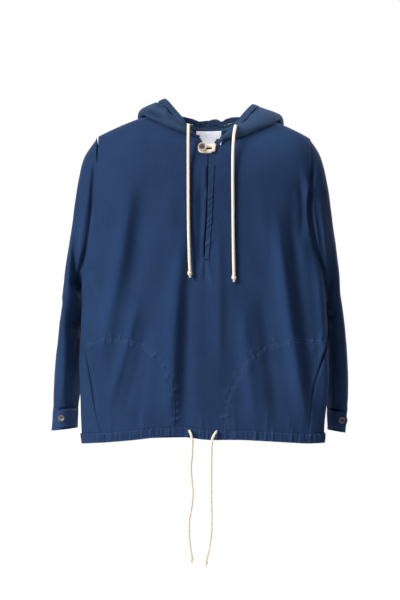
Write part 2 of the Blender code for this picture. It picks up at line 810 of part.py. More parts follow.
def neck_point(side, share, tops):
    """Point of the panels' own neckline, from near the centre front (share 0) to the back (1)."""
    angle = math.radians(14) * (1 - share) + math.pi * share
    x = NECK_MIDDLE + SIDES[side] * NECK_HALF * math.sin(angle)
    top = tops["back" if angle > math.pi / 2 else "front"]
    point = row_at(top, x)
    inward = Vector((NECK_MIDDLE - point.x, -point.y, 0)).normalized()
    return point + Vector((0, 0, HOOD_LIFT)) + inward * HOOD_LIFT / 2


def hood_place(side, share, out, y, height):
    """Place at a distance out from the neck's middle, just clear of the hood's centre seam."""
    gap = SEAM * smooth((share - 0.9) / 0.1)
    return Vector((NECK_MIDDLE + SIDES[side] * (out + gap), y, height))


def hood_lowered(side, share):
    return smooth(share / 0.3) * smooth((1 - share) / 0.4) if side == "left" else 0.0


def hood_edge(side, share):
    out, y, height = EDGE.read(share)
    return hood_place(side, share, out, y, height - HOOD_DROOP * hood_lowered(side, share))


def hood_rib(side, share, tops):
    """Points of the hood from the neck seam, over and down on the body, and up to its casing."""
    lowered = hood_lowered(side, share)
    droop, spread = HOOD_DROOP * lowered, 1 + HOOD_SPREAD * lowered
    full = 0.3 + 0.7 * smooth((share - HOOD_START) / 0.2)
    seam = neck_point(side, share, tops)
    seam.x += SIDES[side] * SEAM * smooth((share - 0.9) / 0.1)
    out, y, height, rise = LYING.read(share)
    lying = above_body(hood_place(side, share, out * spread, y, height - 2 * droop), HOOD_REST, True)
    outward = Vector((seam.x - NECK_MIDDLE, seam.y, 0)).normalized()
    top = seam + outward * HOOD_ROLL * full + Vector((0, 0, rise * (1 - 0.8 * lowered)))
    resting = [above_body(top.lerp(lying, t), HOOD_REST, True) for t in (0.33, 0.67)]
    out, y, height = OUTER.read(share)
    outer = hood_place(side, share, out * spread, y, height - droop)
    edge = hood_edge(side, share)
    width = min(HOOD_CASING, (outer - edge).length / 2)
    stitched = edge + (outer - edge).normalized() * width
    turned = lying + (outer - lying) * 0.35 + (lying - resting[1]).normalized() * HOOD_TURN * full
    knots = [seam, top, *resting, lying, turned, outer, stitched]
    curve = Table("knot x y z", *[(n, *p) for n, p in enumerate(knots)])
    return [Vector(curve.read(n)) for n in (0, 1, 2, 3, 3.5, 4, 4.5, 5, 5.5, 6, 6.5, 7)]


def build_hood(tops, around=18):
    """The hood's two halves, and the casing along its opening."""
    line = []
    for side in SIDES:
        places = [HOOD_START + (1 - HOOD_START) * n / around for n in range(around + 1)]
        ribs = [hood_rib(side, share, tops) for share in places]
        rest_on_body(ribs, 1, 9, HOOD_REST)
        cloth(f"hood_{side}", ribs, WALL, hood_navy())
        half = []
        for rib, share in zip(ribs, places):
            edge = hood_edge(side, share)
            half.append((rib[-1] + (edge - rib[-1]).normalized() * CASING_SEAM, edge))
        first = neck_point(side, 0, tops) + Vector((0, 0, DOUBLE - WALL))
        middle = (first.lerp(half[0][0], 0.5), hood_edge(side, HOOD_START / 2))
        half = [(first, hood_edge(side, 0)), middle] + half
        line += half if side == "right" else half[::-1]
    rows = [[a, a.lerp(b, 0.5), b] for a, b in line]
    cloth("hood_casing", rows, DOUBLE, hood_navy())


def build_hem(panel, waves):
    """The turned-up hem: a double band with small uneven puckers."""
    hem = BACK_HEM if panel == "back" else HEM
    middle = math.pi if panel == "back" else 0.0
    columns = []
    for side, sign in SIDES.items():
        half = [(side, sign, n / (2 * waves)) for n in range(2 * waves + 1)]
        columns += half[::-1] if side == "right" else half[1:]
    rows = []
    for part in (0.0, 0.5, 1.0):
        level = FOOT + CASING * part
        turns = {side: even_turns(middle, edge_turn(panel, side, level), 2 * waves) for side in SIDES}
        row = []
        for n, (side, sign, share) in enumerate(columns):
            turn = sign * turns[side][round(share * 2 * waves)]
            height = hem.read(section(turn, level)[0]) + CASING * part
            size = PUCKER * (1 + 0.5 * math.sin(n * 0.9)) * smooth((1 - share) / 0.1)
            row.append(body(turn, height, size * (-1) ** n * (1 - 0.6 * part), panel, share))
        rows.append(row)
    cloth(f"hem_{panel}", rows, DOUBLE, navy())


def build_pocket(side, halves, columns=10):
    """The pocket bag inside the front, made from the front's own rows and moved in."""
    limit = POCKETS[side]
    rows = []
    for row in halves[side]:
        if limit.rows[0][0] < row[0].z < limit.rows[-1][0]:
            inner = limit.read(row[0].z)
            outer = row[-1].x * 0.985
            rows.append([row_at(row, inner + (outer - inner) * n / columns) for n in range(columns + 1)])
    inward = SIDES[side] * -(WALL + SEAM + POCKET_CLEAR)
    cloth(f"pocket_{side}", moved_out(rows, inward), WALL, navy())


def build_label():
    """The bare label, hung inside the back neck."""
    rows = []
    for part in range(4):
        row = []
        for across in range(5):
            x = NECK_MIDDLE + LABEL_WIDTH * (across / 4 - 0.5)
            height = LABEL_TOP - LABEL_DROP * part / 3
            row.append(on_body(x, height, True, -(WALL + SEAM + LABEL_CLEAR)))
        rows.append(row)
    cloth("neck_label", rows, LABEL_THICK, white())


def tube(name, points, diameter, finish, spacing=2.5, sides=2):
    """A cord: a round tube on a smooth curve through the route's points."""
    lengths = [0.0]
    for a, b in zip(points, points[1:]):
        lengths.append(lengths[-1] + (Vector(b) - Vector(a)).length)
    route = Table("along x y z", *[(s, *p) for s, p in zip(lengths, points)])
    count = max(4, round(lengths[-1] / (spacing * diameter)))
    curve = bpy.data.curves.new(name, "CURVE")
    curve.dimensions = "3D"
    curve.bevel_depth = diameter / 2
    curve.bevel_resolution = sides
    curve.use_fill_caps = True
    spline = curve.splines.new("POLY")
    spline.points.add(count)
    for n in range(count + 1):
        spline.points[n].co = (*route.read(lengths[-1] * n / count), 1)
    curve.materials.append(finish)
    thing = bpy.data.objects.new(name, curve)
    bpy.context.scene.collection.objects.link(thing)
    return thing


def build_knot(name, top, size, around=10):
    """A tied knot under the cord's end: a lump, a waist and a short frayed tail."""
    profile = (
        (0.0, 0.0),
        (0.62, -0.08),
        (1.0, -0.55),
        (1.05, -1.05),
        (0.75, -1.6),
        (0.42, -1.85),
        (0.60, -2.35),
        (0.72, -2.9),
        (0.0, -3.0),
    )
    shell = bmesh.new()
    verts = [shell.verts.new((r * size, 0, z * size)) for r, z in profile]
    edges = [shell.edges.new(pair) for pair in zip(verts, verts[1:])]
    bmesh.ops.spin(
        shell, geom=verts + edges, cent=(0, 0, 0), axis=(0, 0, 1), angle=2 * math.pi, steps=around
    )
    bmesh.ops.remove_doubles(shell, verts=shell.verts, dist=1e-6)
    bmesh.ops.recalc_face_normals(shell, faces=shell.faces)
    bmesh.ops.translate(shell, verts=shell.verts, vec=Vector(top) - Vector((0, 0, 2 * SEAM)))
    mesh = bpy.data.meshes.new(name)
    shell.to_mesh(mesh)
    shell.free()
    mesh.shade_smooth()
    return add(name, mesh, cream())


def build_cords():
    """The free cords of the hood and the hem, each with its end knot."""
    for side in SIDES:
        tube(f"hood_cord_{side}", HOOD_CORD[side], HOOD_CORD_WIDTH, cream())
        build_knot(f"hood_knot_{side}", HOOD_CORD[side][-1], HOOD_CORD_WIDTH * 0.75)
        tube(f"hem_cord_{side}", HEM_CORD[side], HEM_CORD_WIDTH, cream())
        build_knot(f"hem_knot_{side}", HEM_CORD[side][-1], HEM_CORD_WIDTH * 0.8)


def build_neck_fastening():
    """The button on its stem, the loop round the stem, and the tie that holds the loop."""
    x, height = NECK_BUTTON
    seat = on_body(x, height, False, WALL / 2 + SEAM)
    centre = on_body(x, height, False, WALL / 2 + SEAM + BUTTON_STEM + BUTTON_THICK / 2)
    build_button("button_neck", centre, centre - seat, BUTTON_RADIUS, BUTTON_THICK, BUTTON_STEM)
    out = WALL / 2 + SEAM + LOOP_WIDTH / 2 + LOOP_CLEAR
    loop = [on_body(x, height, False, out) for x, height in LOOP]
    tube("neck_loop", loop, LOOP_WIDTH, cream(), spacing=0.5)
    tie = [on_body(x, height, False, out + LOOP_CLEAR) for x, height in LOOP_TIE]
    tube("loop_tie", tie, LOOP_WIDTH, cream(), spacing=1.0)


def main():
    for thing in list(bpy.data.objects):
        bpy.data.objects.remove(thing)
    front = build_front()
    back = build_back()
    build_slit_facing(front)
    for side in SIDES:
        build_sleeve(side)
        build_cuff(side)
        build_tab(side)
        build_pocket(side, front)
    build_hood({"front": whole_top(front), "back": whole_top(back)})
    build_hem("front", 14)
    build_hem("back", 14)
    build_label()
    build_neck_fastening()
    build_cords()


main()
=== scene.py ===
"""Looks of the anorak pullover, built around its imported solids.

Run as a script. Each piece of cloth is a thin shell on its solid's own form with its creases added,
and the stitching, eyelets, cords, buttons and label lie on that cloth. Metres, +Z up; the front
faces -Y and the wearer's left is +X.
"""

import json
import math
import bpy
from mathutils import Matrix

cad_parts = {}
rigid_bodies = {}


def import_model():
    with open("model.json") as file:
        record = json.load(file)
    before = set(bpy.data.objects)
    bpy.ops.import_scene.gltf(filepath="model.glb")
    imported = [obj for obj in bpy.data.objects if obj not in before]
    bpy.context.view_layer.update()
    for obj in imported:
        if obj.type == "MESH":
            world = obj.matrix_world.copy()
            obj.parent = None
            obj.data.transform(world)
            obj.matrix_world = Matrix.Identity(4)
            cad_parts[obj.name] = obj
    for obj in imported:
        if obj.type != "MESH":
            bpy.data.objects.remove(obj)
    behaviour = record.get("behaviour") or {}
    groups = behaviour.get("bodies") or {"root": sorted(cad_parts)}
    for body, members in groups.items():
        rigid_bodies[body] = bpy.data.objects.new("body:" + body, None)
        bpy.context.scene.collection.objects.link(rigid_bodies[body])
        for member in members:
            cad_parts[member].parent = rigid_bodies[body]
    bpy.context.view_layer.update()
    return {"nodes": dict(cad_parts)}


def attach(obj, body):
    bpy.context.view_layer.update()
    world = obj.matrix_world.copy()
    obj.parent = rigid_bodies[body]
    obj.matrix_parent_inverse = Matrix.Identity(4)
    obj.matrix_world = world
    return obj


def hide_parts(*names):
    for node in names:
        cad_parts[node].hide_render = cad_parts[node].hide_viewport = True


bl_info = {
    "name": "Anorak pullover looks",
    "version": (1, 0, 0),
    "blender": (4, 5, 0),
    "location": "3D View > Sidebar > Anorak",
    "description": "Woven cloth, cords, stitching, buttons and stage for an anorak pullover",
    "category": "Object",
}

import bmesh
import bpy
import numpy as np
from mathutils import Matrix, Vector
from mathutils.bvhtree import BVHTree
from mathutils.kdtree import KDTree

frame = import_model()

SIDES = {"right": -1, "left": 1}  # the wearer's sides
WALL = 0.0012
DOUBLE = 0.0020
CASING = 0.020  # height of the hem casing
RIM_CORNER = math.radians(35)  # where a rim turns more than this it keeps its corner
NECK_MIDDLE = 0.012  # the neck and the hood sit a little to the wearer's left
ARM_RADIUS = 0.055  # turns the way round a sleeve into a length
UNEVEN = 0.0005  # how uneven the body's cloth is
UNEVEN_HOOD = 0.0008
NEAR_POCKET = 0.03  # how far from a pocket's outline its form is worked out
ABOVE_CLOTH = 0.00012  # from the cloth to the middle of a stitch
UNDER_PANEL = 0.0140  # how far a sleeve's edge reaches under the body below the shoulder's tip


def metres(*rows):
    """Rows given in whole tenths of a millimetre, in metres. A crease's ninth value, its lean, stays."""
    return tuple(tuple(value / 10000 for value in row[:8]) + row[8:] for row in rows)


# The free cords' routes, from their eyelets down to their knots.
HOOD_CORD = {
    "right": metres(
        (-290, -848, -150), (-290, -886, -138), (-290, -926, -139), (-291, -966, -165),
        (-292, -992, -222), (-293, -1005, -320), (-294, -1014, -500), (-294, -1024, -750),
        (-294, -1036, -1000), (-293, -1050, -1300), (-292, -1058, -1600), (-290, -1062, -2000),
        (-284, -1062, -2400), (-274, -1060, -2750), (-262, -1056, -3060),
    ),
    "left": metres(
        (661, -819, -160), (658, -850, -152), (651, -887, -157), (642, -925, -191), (631, -952, -248),
        (620, -968, -325), (611, -975, -440), (602, -982, -600), (598, -1000, -800), (596, -1024, -1050),
        (597, -1042, -1350), (599, -1052, -1700), (602, -1058, -2100), (606, -1058, -2500),
        (612, -1054, -2850), (620, -1048, -3150),
    ),
}
HEM_CORD = {
    "right": metres(
        (-270, -853, -6270), (-268, -891, -6272), (-257, -919, -6292), (-239, -933, -6336),
        (-225, -932, -6400), (-216, -921, -6500), (-222, -906, -6700), (-246, -900, -7000),
        (-232, -894, -7260), (-210, -890, -7520), (-234, -886, -7780), (-280, -880, -8040),
        (-286, -876, -8290), (-268, -872, -8540), (-228, -868, -8800),
    ),
    "left": metres(
        (272, -857, -6280), (268, -894, -6282), (249, -922, -6304), (217, -934, -6352),
        (190, -931, -6415), (171, -919, -6540), (163, -906, -6750), (160, -900, -7040),
        (158, -894, -7340), (160, -890, -7640), (166, -885, -7900), (166, -881, -8150),
        (154, -877, -8400), (114, -873, -8640), (60, -869, -8870),
    ),
}
# The neck loop's middle line and its tie's: x and height on the front.
LOOP = metres(
    (188, -554), (140, -554), (80, -553), (30, -553), (-8, -556), (-45, -572), (-60, -607), (-45, -642),
    (-8, -658), (40, -661), (90, -661), (135, -660), (172, -660),
)
LOOP_TIE = metres(
    (232, -515), (226, -555), (217, -610), (209, -662), (200, -725),
)
# Creases: a crest's line from its first point through its middle to its last, its half width, its
# height off the cloth (a hollow is below 0) and how far it leans: above 0 it is steeper to the
# right of its line. Body creases give x and height, a sleeve's the way round it and height.
FRONT_CREASES = metres(
    (-340, -2000, -620, -4000, -700, -6700, 170, 55, 0.3),
    (-220, -1800, -400, -4000, -340, -6800, 140, -58, 0.0),
    (-900, -3800, -1040, -5200, -1260, -6600, 150, 34, -0.2),
    (-1420, -1200, -1620, -3000, -2160, -5200, 170, 55, 0.25),
    (-1180, -1000, -1240, -2400, -1520, -3900, 200, -66, 0.0),
    (-1240, -3400, -1500, -4600, -1960, -5900, 110, 42, 0.3),
    (-1060, -3800, -1300, -5000, -1660, -6100, 110, -34, 0.0),
    (1420, -1600, 1680, -4000, 2120, -6400, 150, 68, 0.4),
    (1760, -1500, 1940, -3600, 2300, -6200, 110, -65, 0.0),
    (1960, -800, 2220, -1700, 2220, -2700, 70, 44, 0.2),
    (1960, -1000, 2040, -1800, 1980, -2600, 70, -39, 0.0),
    (2190, -2400, 2430, -4000, 2470, -6400, 110, 72, -0.3),
    (740, -3500, 860, -4800, 1040, -6400, 140, 39, 0.25),
    (1120, -3300, 1320, -4800, 1560, -6400, 130, -47, 0.0),
    (280, -1800, 360, -3300, 300, -5400, 130, 30, 0.35),
    (1040, -1200, 1260, -2200, 1280, -3300, 160, 18, 0.2),
    (-700, -1200, -620, -2000, -700, -2900, 140, 16, 0.2),
    (-2260, -1200, -2140, -1900, -2040, -2700, 60, -16, 0.0),
    (-2360, -3000, -2060, -3500, -1860, -4200, 80, 18, 0.2),
    (-50, -1100, -10, -2100, -80, -3200, 85, -46, 0.0),
    (-10, -2840, -30, -3060, -80, -3300, 40, 10, 0.0),
    (80, -2680, 150, -2520, 220, -2360, 30, 12, 0.0),
    (80, -2840, 130, -3100, 200, -3400, 44, 16, -0.2),
    (40, -2860, 40, -3040, 50, -3300, 26, -18, 0.0),
    (-2280, -4700, -2060, -4800, -1780, -5000, 60, 14, 0.2),
    (2320, -4550, 2140, -4700, 1900, -4940, 60, 14, 0.2),
)
BACK_CREASES = metres(
    (-1900, -1200, -1660, -2600, -1760, -4300, 150, 41, 0.3),
    (-1500, -1600, -1300, -3000, -1400, -4800, 130, -34, 0.0),
    (-800, -2400, -920, -4600, -1040, -6600, 150, 48, -0.3),
    (-300, -3000, -200, -4800, -260, -6600, 140, -41, 0.2),
    (500, -2400, 640, -4300, 600, -6600, 150, 43, 0.3),
    (1160, -3000, 1280, -4600, 1500, -6500, 130, -41, -0.2),
    (1860, -1300, 1660, -2600, 1860, -4400, 150, 41, 0.3),
    (2220, -3000, 2160, -4400, 2320, -6200, 120, 36, 0.0),
    (-2220, -3000, -2120, -4400, -2300, -6200, 120, 36, 0.0),
    (-1300, -2160, -200, -2500, 1000, -2120, 130, 26, 0.0),
    (-900, -2520, 100, -2860, 900, -2560, 110, -22, 0.0),
)
SLEEVE_CREASES = metres(
    (1500, -3300, 1040, -3920, 660, -4800, 75, 37, 0.3),
    (1600, -3500, 1320, -4300, 1120, -5400, 80, 32, 0.2),
    (1360, -3450, 1160, -4100, 860, -5000, 60, -25, 0.0),
    (840, -1200, 660, -2800, 820, -4400, 130, 35, 0.25),
    (400, -1400, 340, -2600, 440, -3800, 120, -22, 0.0),
    (1040, -1800, 980, -2400, 1100, -3100, 70, 20, 0.0),
    (160, -3220, 520, -3380, 920, -3260, 70, -22, 0.0),
    (200, -3520, 580, -3700, 980, -3560, 75, 20, 0.0),
    (220, -3900, 520, -4020, 840, -3920, 70, -20, 0.0),
    (500, -4200, 600, -5000, 520, -5900, 90, 28, 0.3),
    (1000, -4500, 920, -5200, 1000, -5900, 70, 22, -0.2),
    (120, -4400, 180, -5100, 80, -5900, 80, 22, 0.0),
    (-400, -1300, -520, -2800, -440, -4300, 130, 32, 0.2),
    (-860, -1800, -940, -3200, -820, -4600, 120, -25, 0.0),
    (-1500, -3400, -1160, -4000, -900, -4800, 80, 32, 0.2),
    (-500, -4300, -600, -5100, -520, -5900, 90, 25, 0.0),
    (-1040, -4600, -1100, -5300, -1000, -5900, 80, 22, 0.2),
    (-300, -3500, -640, -3720, -1000, -3600, 80, 20, 0.0),
)
HOOD_FRONT_CREASES = metres(
    (-1220, 180, -1000, 150, -760, 20, 55, -75, 0.0),
    (-1160, 290, -920, 240, -620, 80, 55, 44, 0.0),
    (-860, -40, -600, -120, -360, -260, 50, 14, 0.0),
    (1460, 0, 1220, -100, 900, -180, 60, 16, 0.0),
    (1500, -100, 1200, -220, 820, -300, 50, -12, 0.0),
    (1200, 120, 1000, -60, 700, -220, 60, 12, 0.2),
)
HOOD_BACK_CREASES = metres(
    (-1100, -300, -100, -820, 1160, -340, 110, 41, 0.2),
    (-1000, -600, 60, -1120, 1120, -660, 100, -34, 0.0),
    (-840, -920, 100, -1420, 980, -1000, 110, 36, 0.2),
    (-560, -1260, 120, -1640, 700, -1320, 90, -24, 0.0),
    (-1180, -60, -900, -500, -500, -800, 80, 26, 0.0),
    (1280, -100, 1000, -500, 560, -820, 80, 26, 0.0),
)
# The stitched outline of each pocket bag on the front, from its mouth to the hem: x and height.
POCKET_LINE = {
    "right": metres(
        (-2320, -4520), (-2026, -4416), (-1560, -4440), (-1226, -4540), (-960, -4720), (-760, -4980),
        (-610, -5274), (-544, -5560), (-535, -5900), (-540, -6180),
    ),
    "left": metres(
        (2380, -4460), (1880, -4440), (1440, -4520), (1120, -4690), (870, -4870), (720, -5140),
        (590, -5400), (505, -5640), (446, -5960), (434, -6220),
    ),
}
POCKET_ROWS = (0.0, 0.0055)  # the two rows of stitches, from the outline inwards
MOUTHS = {"right": (-0.592, -0.470), "left": (-0.594, -0.440)}


def smooth(t):
    """Eased step from 0 to 1, of a number or an array."""
    t = np.clip(t, 0.0, 1.0)
    return t * t * (3 - 2 * t)


class Route:
    """A smooth curve through points, read by its length."""

    def __init__(self, points):
        self.points = [Vector(p) for p in points]
        self.along = [0.0]
        for a, b in zip(self.points, self.points[1:]):
            self.along.append(self.along[-1] + (b - a).length)
        self.length = self.along[-1]

    def slope(self, i):
        low, high = max(i - 1, 0), min(i + 1, len(self.points) - 1)
        return (self.points[high] - self.points[low]) / (self.along[high] - self.along[low])

    def read(self, along):
        along = min(max(along, 0.0), self.length)
        i = max(n for n in range(len(self.along) - 1) if self.along[n] <= along)
        step = self.along[i + 1] - self.along[i]
        t = (along - self.along[i]) / step
        a, b = self.points[i], self.points[i + 1]
        p, q = self.slope(i) * step, self.slope(i + 1) * step
        return a + p * t + (3 * (b - a) - 2 * p - q) * t * t + (2 * (a - b) + p + q) * t**3

    def spaced(self, step):
        count = max(2, round(self.length / step))
        return [self.read(self.length * n / count) for n in range(count + 1)]


# ---- materials ----


class Paint:
    """A node material under construction: each method adds a node and gives back its output."""

    def __init__(self, name):
        self.material = bpy.data.materials.new(name)
        self.material.use_nodes = True
        self.nodes = self.material.node_tree.nodes
        self.shader = self.nodes["Principled BSDF"]
        self.material.node_tree.nodes["Material Output"].location = (600, 0)

    def join(self, source, socket):
        if isinstance(source, (int, float)):
            socket.default_value = source
        elif isinstance(source, tuple):
            socket.default_value = (*source, 1) if len(socket.default_value) == 4 else source
        else:
            self.material.node_tree.links.new(source, socket)

    def node(self, kind, output, inputs=(), **settings):
        made = self.nodes.new(kind)
        for key, value in settings.items():
            setattr(made, key, value)
        for socket, source in inputs:
            self.join(source, made.inputs[socket])
        return made.outputs[output]

    def place(self):
        return self.node("ShaderNodeTexCoord", "Object")

    def uv(self, name):
        return self.node("ShaderNodeUVMap", "UV", uv_map=name)

    def attribute(self, name):
        return self.node("ShaderNodeAttribute", "Fac", attribute_name=name)

    def noise(self, vector, scale, detail=2.0):
        inputs = (("Vector", vector), ("Scale", scale), ("Detail", detail))
        return self.node("ShaderNodeTexNoise", "Fac", inputs)

    def wave(self, vector, scale, direction, distortion=0.0):
        inputs = (("Vector", vector), ("Scale", scale), ("Distortion", distortion))
        return self.node("ShaderNodeTexWave", "Fac", inputs, bands_direction=direction)

    def math(self, operation, a, b):
        return self.node("ShaderNodeMath", 0, ((0, a), (1, b)), operation=operation)

    def spread(self, value, low, high, out_low=0.0, out_high=1.0):
        inputs = (("Value", value), ("From Min", low), ("From Max", high))
        inputs += (("To Min", out_low), ("To Max", out_high))
        return self.node("ShaderNodeMapRange", "Result", inputs)

    def stretched(self, vector, scale):
        return self.node("ShaderNodeMapping", 0, (("Vector", vector), ("Scale", scale)))

    def mix(self, factor, a, b):
        mixed = self.nodes.new("ShaderNodeMix")
        mixed.data_type = "RGBA"
        self.join(factor, mixed.inputs[0])
        self.join(a, mixed.inputs[6])
        self.join(b, mixed.inputs[7])
        return mixed.outputs[2]

    def bump(self, height, distance, strength=1.0, under=None):
        inputs = [("Height", height), ("Distance", distance), ("Strength", strength)]
        if under is not None:
            inputs.append(("Normal", under))
        return self.node("ShaderNodeBump", "Normal", inputs)

    def finish(self, **sockets):
        for name, source in sockets.items():
            self.join(source, self.shader.inputs[name.replace("_", " ")])
        return self.material


def shade(colour, factor):
    return tuple(min(c * factor, 1.0) for c in colour)


def band_scale(pitch):
    """Scale of a wave texture whose bands are this far apart."""
    return math.pi / (10 * pitch)


def cloth_material(name, colour, sizes):
    """Plain woven cotton with washed colour and a soft nap, paler where it is worn at seams, hems and
    puckers, with a painted highlight on the crests of its folds.
    """
    paint = Paint(name)
    cut, place = paint.uv("cut"), paint.place()
    warp = paint.wave(cut, band_scale(sizes.weave), "X", 0.6)
    weft = paint.wave(cut, band_scale(sizes.weave), "Y", 0.6)
    weave = paint.math("MULTIPLY", warp, weft)
    slub = paint.noise(paint.stretched(cut, (1100.0, 42.0, 1.0)), 1.0)
    wash = paint.noise(place, 14.0, 3.0)
    mottle = paint.noise(place, 190.0, 3.0)
    wear_and_highlight = paint.attribute("wear_and_crest_highlight")
    tone = paint.mix(paint.spread(wash, 0.35, 0.65), shade(colour, 0.88), shade(colour, 1.12))
    tone = paint.mix(paint.spread(mottle, 0.4, 0.62, 0.0, 0.5), tone, shade(colour, 1.3))
    tone = paint.mix(paint.spread(slub, 0.50, 0.72, 0.0, 0.5), tone, shade(colour, 1.5))
    # Paler by the attribute that dress sets: wear at seams, hems and puckers, a painted highlight on the
    # crests of the folds, and the cuffs and tabs paler all over.
    tone = paint.mix(paint.spread(wear_and_highlight, 0.0, 1.0, 0.0, 0.55), tone, shade(colour, 1.9))
    bump = paint.bump(mottle, 0.0006, 0.5)
    bump = paint.bump(weave, sizes.weave * 0.3, 0.6, bump)
    return paint.finish(
        Base_Color=tone,
        Roughness=paint.spread(mottle, 0.3, 0.7, 0.78, 0.92),
        Sheen_Weight=0.14,
        Sheen_Roughness=0.5,
        Sheen_Tint=shade(colour, 8.0),
        Specular_IOR_Level=0.12,
        Normal=bump,
    )


def cord_material(colour):
    """Undyed cotton braid: two families of strands crossing, with a fibrous surface and painted shade in
    the grooves between the raised strands.
    """
    paint = Paint("braided_cotton")
    strand, place = paint.attribute("strand"), paint.place()
    fibre = paint.noise(place, 1500.0, 3.0)
    soil = paint.noise(place, 30.0, 3.0)
    # Painted shade: darker where the strand attribute is low, in the grooves between the raised strands.
    tone = paint.mix(paint.spread(strand, 0.1, 0.8), shade(colour, 0.86), colour)
    tone = paint.mix(paint.spread(soil, 0.4, 0.7, 0.0, 0.5), tone, shade(colour, 0.88))
    tone = paint.mix(paint.spread(fibre, 0.5, 0.8, 0.0, 0.4), tone, shade(colour, 1.15))
    return paint.finish(
        Base_Color=tone,
        Roughness=0.85,
        Sheen_Weight=0.3,
        Sheen_Roughness=0.6,
        Specular_IOR_Level=0.2,
        Normal=paint.bump(fibre, 0.0002, 0.7),
    )


def thread_material(name, colour):
    """Twisted sewing thread with a low gloss."""
    paint = Paint(name)
    twist = paint.noise(paint.place(), 2600.0, 2.0)
    tone = paint.mix(paint.spread(twist, 0.35, 0.7), shade(colour, 0.75), shade(colour, 1.25))
    bump = paint.bump(twist, 0.0001, 0.6)
    return paint.finish(Base_Color=tone, Roughness=0.55, Sheen_Weight=0.2, Normal=bump)


def horn_material(rim, middle):
    """Polished horn, paler at the rim, with streaks across it."""
    paint = Paint("streaked_horn")
    place = paint.place()
    streak = paint.noise(paint.stretched(place, (1.0, 1.0, 5.0)), 260.0, 4.0)
    pale = paint.attribute("pale")
    tone = paint.mix(paint.spread(streak, 0.35, 0.65), shade(middle, 0.6), shade(middle, 1.5))
    light = paint.mix(paint.spread(streak, 0.3, 0.7), shade(rim, 0.75), shade(rim, 1.15))
    scuff = paint.noise(place, 1800.0, 2.0)
    return paint.finish(
        Base_Color=paint.mix(pale, tone, light),
        Roughness=paint.spread(scuff, 0.3, 0.7, 0.24, 0.42),
        Coat_Weight=0.25,
        Coat_Roughness=0.2,
        Normal=paint.bump(scuff, 0.00005, 0.5),
    )


def label_material(colour):
    """Bare woven satin tape with fine ribs across it."""
    paint = Paint("satin_tape")
    cut = paint.uv("cut")
    rib = paint.wave(cut, band_scale(0.0005), "Y", 0.4)
    grain = paint.noise(paint.place(), 900.0, 3.0)
    tone = paint.mix(paint.spread(grain, 0.35, 0.7), shade(colour, 0.9), colour)
    return paint.finish(
        Base_Color=tone,
        Roughness=0.45,
        Sheen_Weight=0.15,
        Specular_IOR_Level=0.4,
        Normal=paint.bump(rib, 0.00012, 0.6),
    )


def floor_material(colour):
    """Matte pale floor with a faint grain."""
    paint = Paint("pale_floor")
    grain = paint.noise(paint.place(), 30.0, 4.0)
    tone = paint.mix(paint.spread(grain, 0.3, 0.7), shade(colour, 0.985), colour)
    return paint.finish(Base_Color=tone, Roughness=0.9, Specular_IOR_Level=0.1)


# ---- meshes ----


def only(*pieces):
    """Deselect everything, then select these pieces and make the first one active."""
    bpy.ops.object.select_all(action="DESELECT")
    for piece in pieces:
        piece.select_set(True)
    bpy.context.view_layer.objects.active = pieces[0]


def add(name, mesh, *finishes):
    piece = bpy.data.objects.new(name, mesh)
    bpy.context.scene.collection.objects.link(piece)
    for finish in finishes:
        mesh.materials.append(finish)
    return piece


def mesh_from(name, points, faces):
    mesh = bpy.data.meshes.new(name)
    mesh.from_pydata([tuple(p) for p in points], [], faces)
    mesh.update()
    mesh.shade_smooth()
    return mesh


def apply_modifier(piece, kind, name, **settings):
    modifier = piece.modifiers.new(name, kind)
    for key, value in settings.items():
        setattr(modifier, key, value)
    only(piece)
    bpy.ops.object.modifier_apply(modifier=name)


def coordinates(mesh):
    flat = np.empty(len(mesh.vertices) * 3)
    mesh.vertices.foreach_get("co", flat)
    return flat.reshape(-1, 3)


def merged_copy(node, name):
    """A copy of a CAD node's mesh with its doubles merged and its triangles joined to quads."""
    piece = add(name, frame["nodes"][node].data.copy())
    piece.data.name = name
    piece.data.materials.clear()
    only(piece)
    bpy.ops.object.mode_set(mode="EDIT")
    bpy.ops.mesh.select_all(action="SELECT")
    bpy.ops.mesh.remove_doubles(threshold=1e-6)
    bpy.ops.mesh.tris_convert_to_quads(face_threshold=math.pi, shape_threshold=math.pi)
    bpy.ops.object.mode_set(mode="OBJECT")
    return piece


def mark_layers(piece, wall, outward):
    """Number the faces: 0 on the outer layer, 1 on the inner one, 2 on the rim, and crease the rim."""
    shell = bmesh.new()
    shell.from_mesh(piece.data)
    crease = shell.edges.layers.float.new("crease_edge")
    for face in shell.faces:
        narrow = min(edge.calc_length() for edge in face.edges) < wall * 1.2
        face.material_index = 2 if narrow else 9
    layers = []
    for first in shell.faces:
        if first.material_index != 9:
            continue
        layer, front = [], [first]
        first.material_index = 1
        while front:
            face = front.pop()
            layer.append(face)
            for edge in face.edges:
                for other in edge.link_faces:
                    if other.material_index == 9:
                        other.material_index = 1
                        front.append(other)
        layers.append(layer)

    def facing(layer):
        return sum(f.normal.dot(outward(f.calc_center_median())) * f.calc_area() for f in layer)

    for face in max(layers, key=facing):
        face.material_index = 0
    for edge in shell.edges:
        kinds = {face.material_index for face in edge.link_faces}
        if len(kinds) > 1 or (kinds == {2} and edge.calc_face_angle(0.0) > RIM_CORNER):
            edge[crease] = 1.0
    shell.to_mesh(piece.data)
    shell.free()


def outward_directions(mesh):
    """Each vertex's direction square to the cloth, towards its outer side, on both of its layers."""
    out = np.zeros((len(mesh.vertices), 3))
    for polygon in mesh.polygons:
        if polygon.material_index != 2:
            push = np.array(polygon.normal) * polygon.area * (1 if polygon.material_index == 0 else -1)
            out[list(polygon.vertices)] += push
    bare = np.linalg.norm(out, axis=1) < 1e-12
    ends = np.empty(len(mesh.edges) * 2, int)
    mesh.edges.foreach_get("vertices", ends)
    ends = ends.reshape(-1, 2)
    for turn in range(4):
        spread = np.zeros_like(out)
        for a, b in ((0, 1), (1, 0)):
            np.add.at(spread, ends[:, a], out[ends[:, b]])
        out[bare] = spread[bare]
    return out / np.maximum(np.linalg.norm(out, axis=1), 1e-12)[:, None]


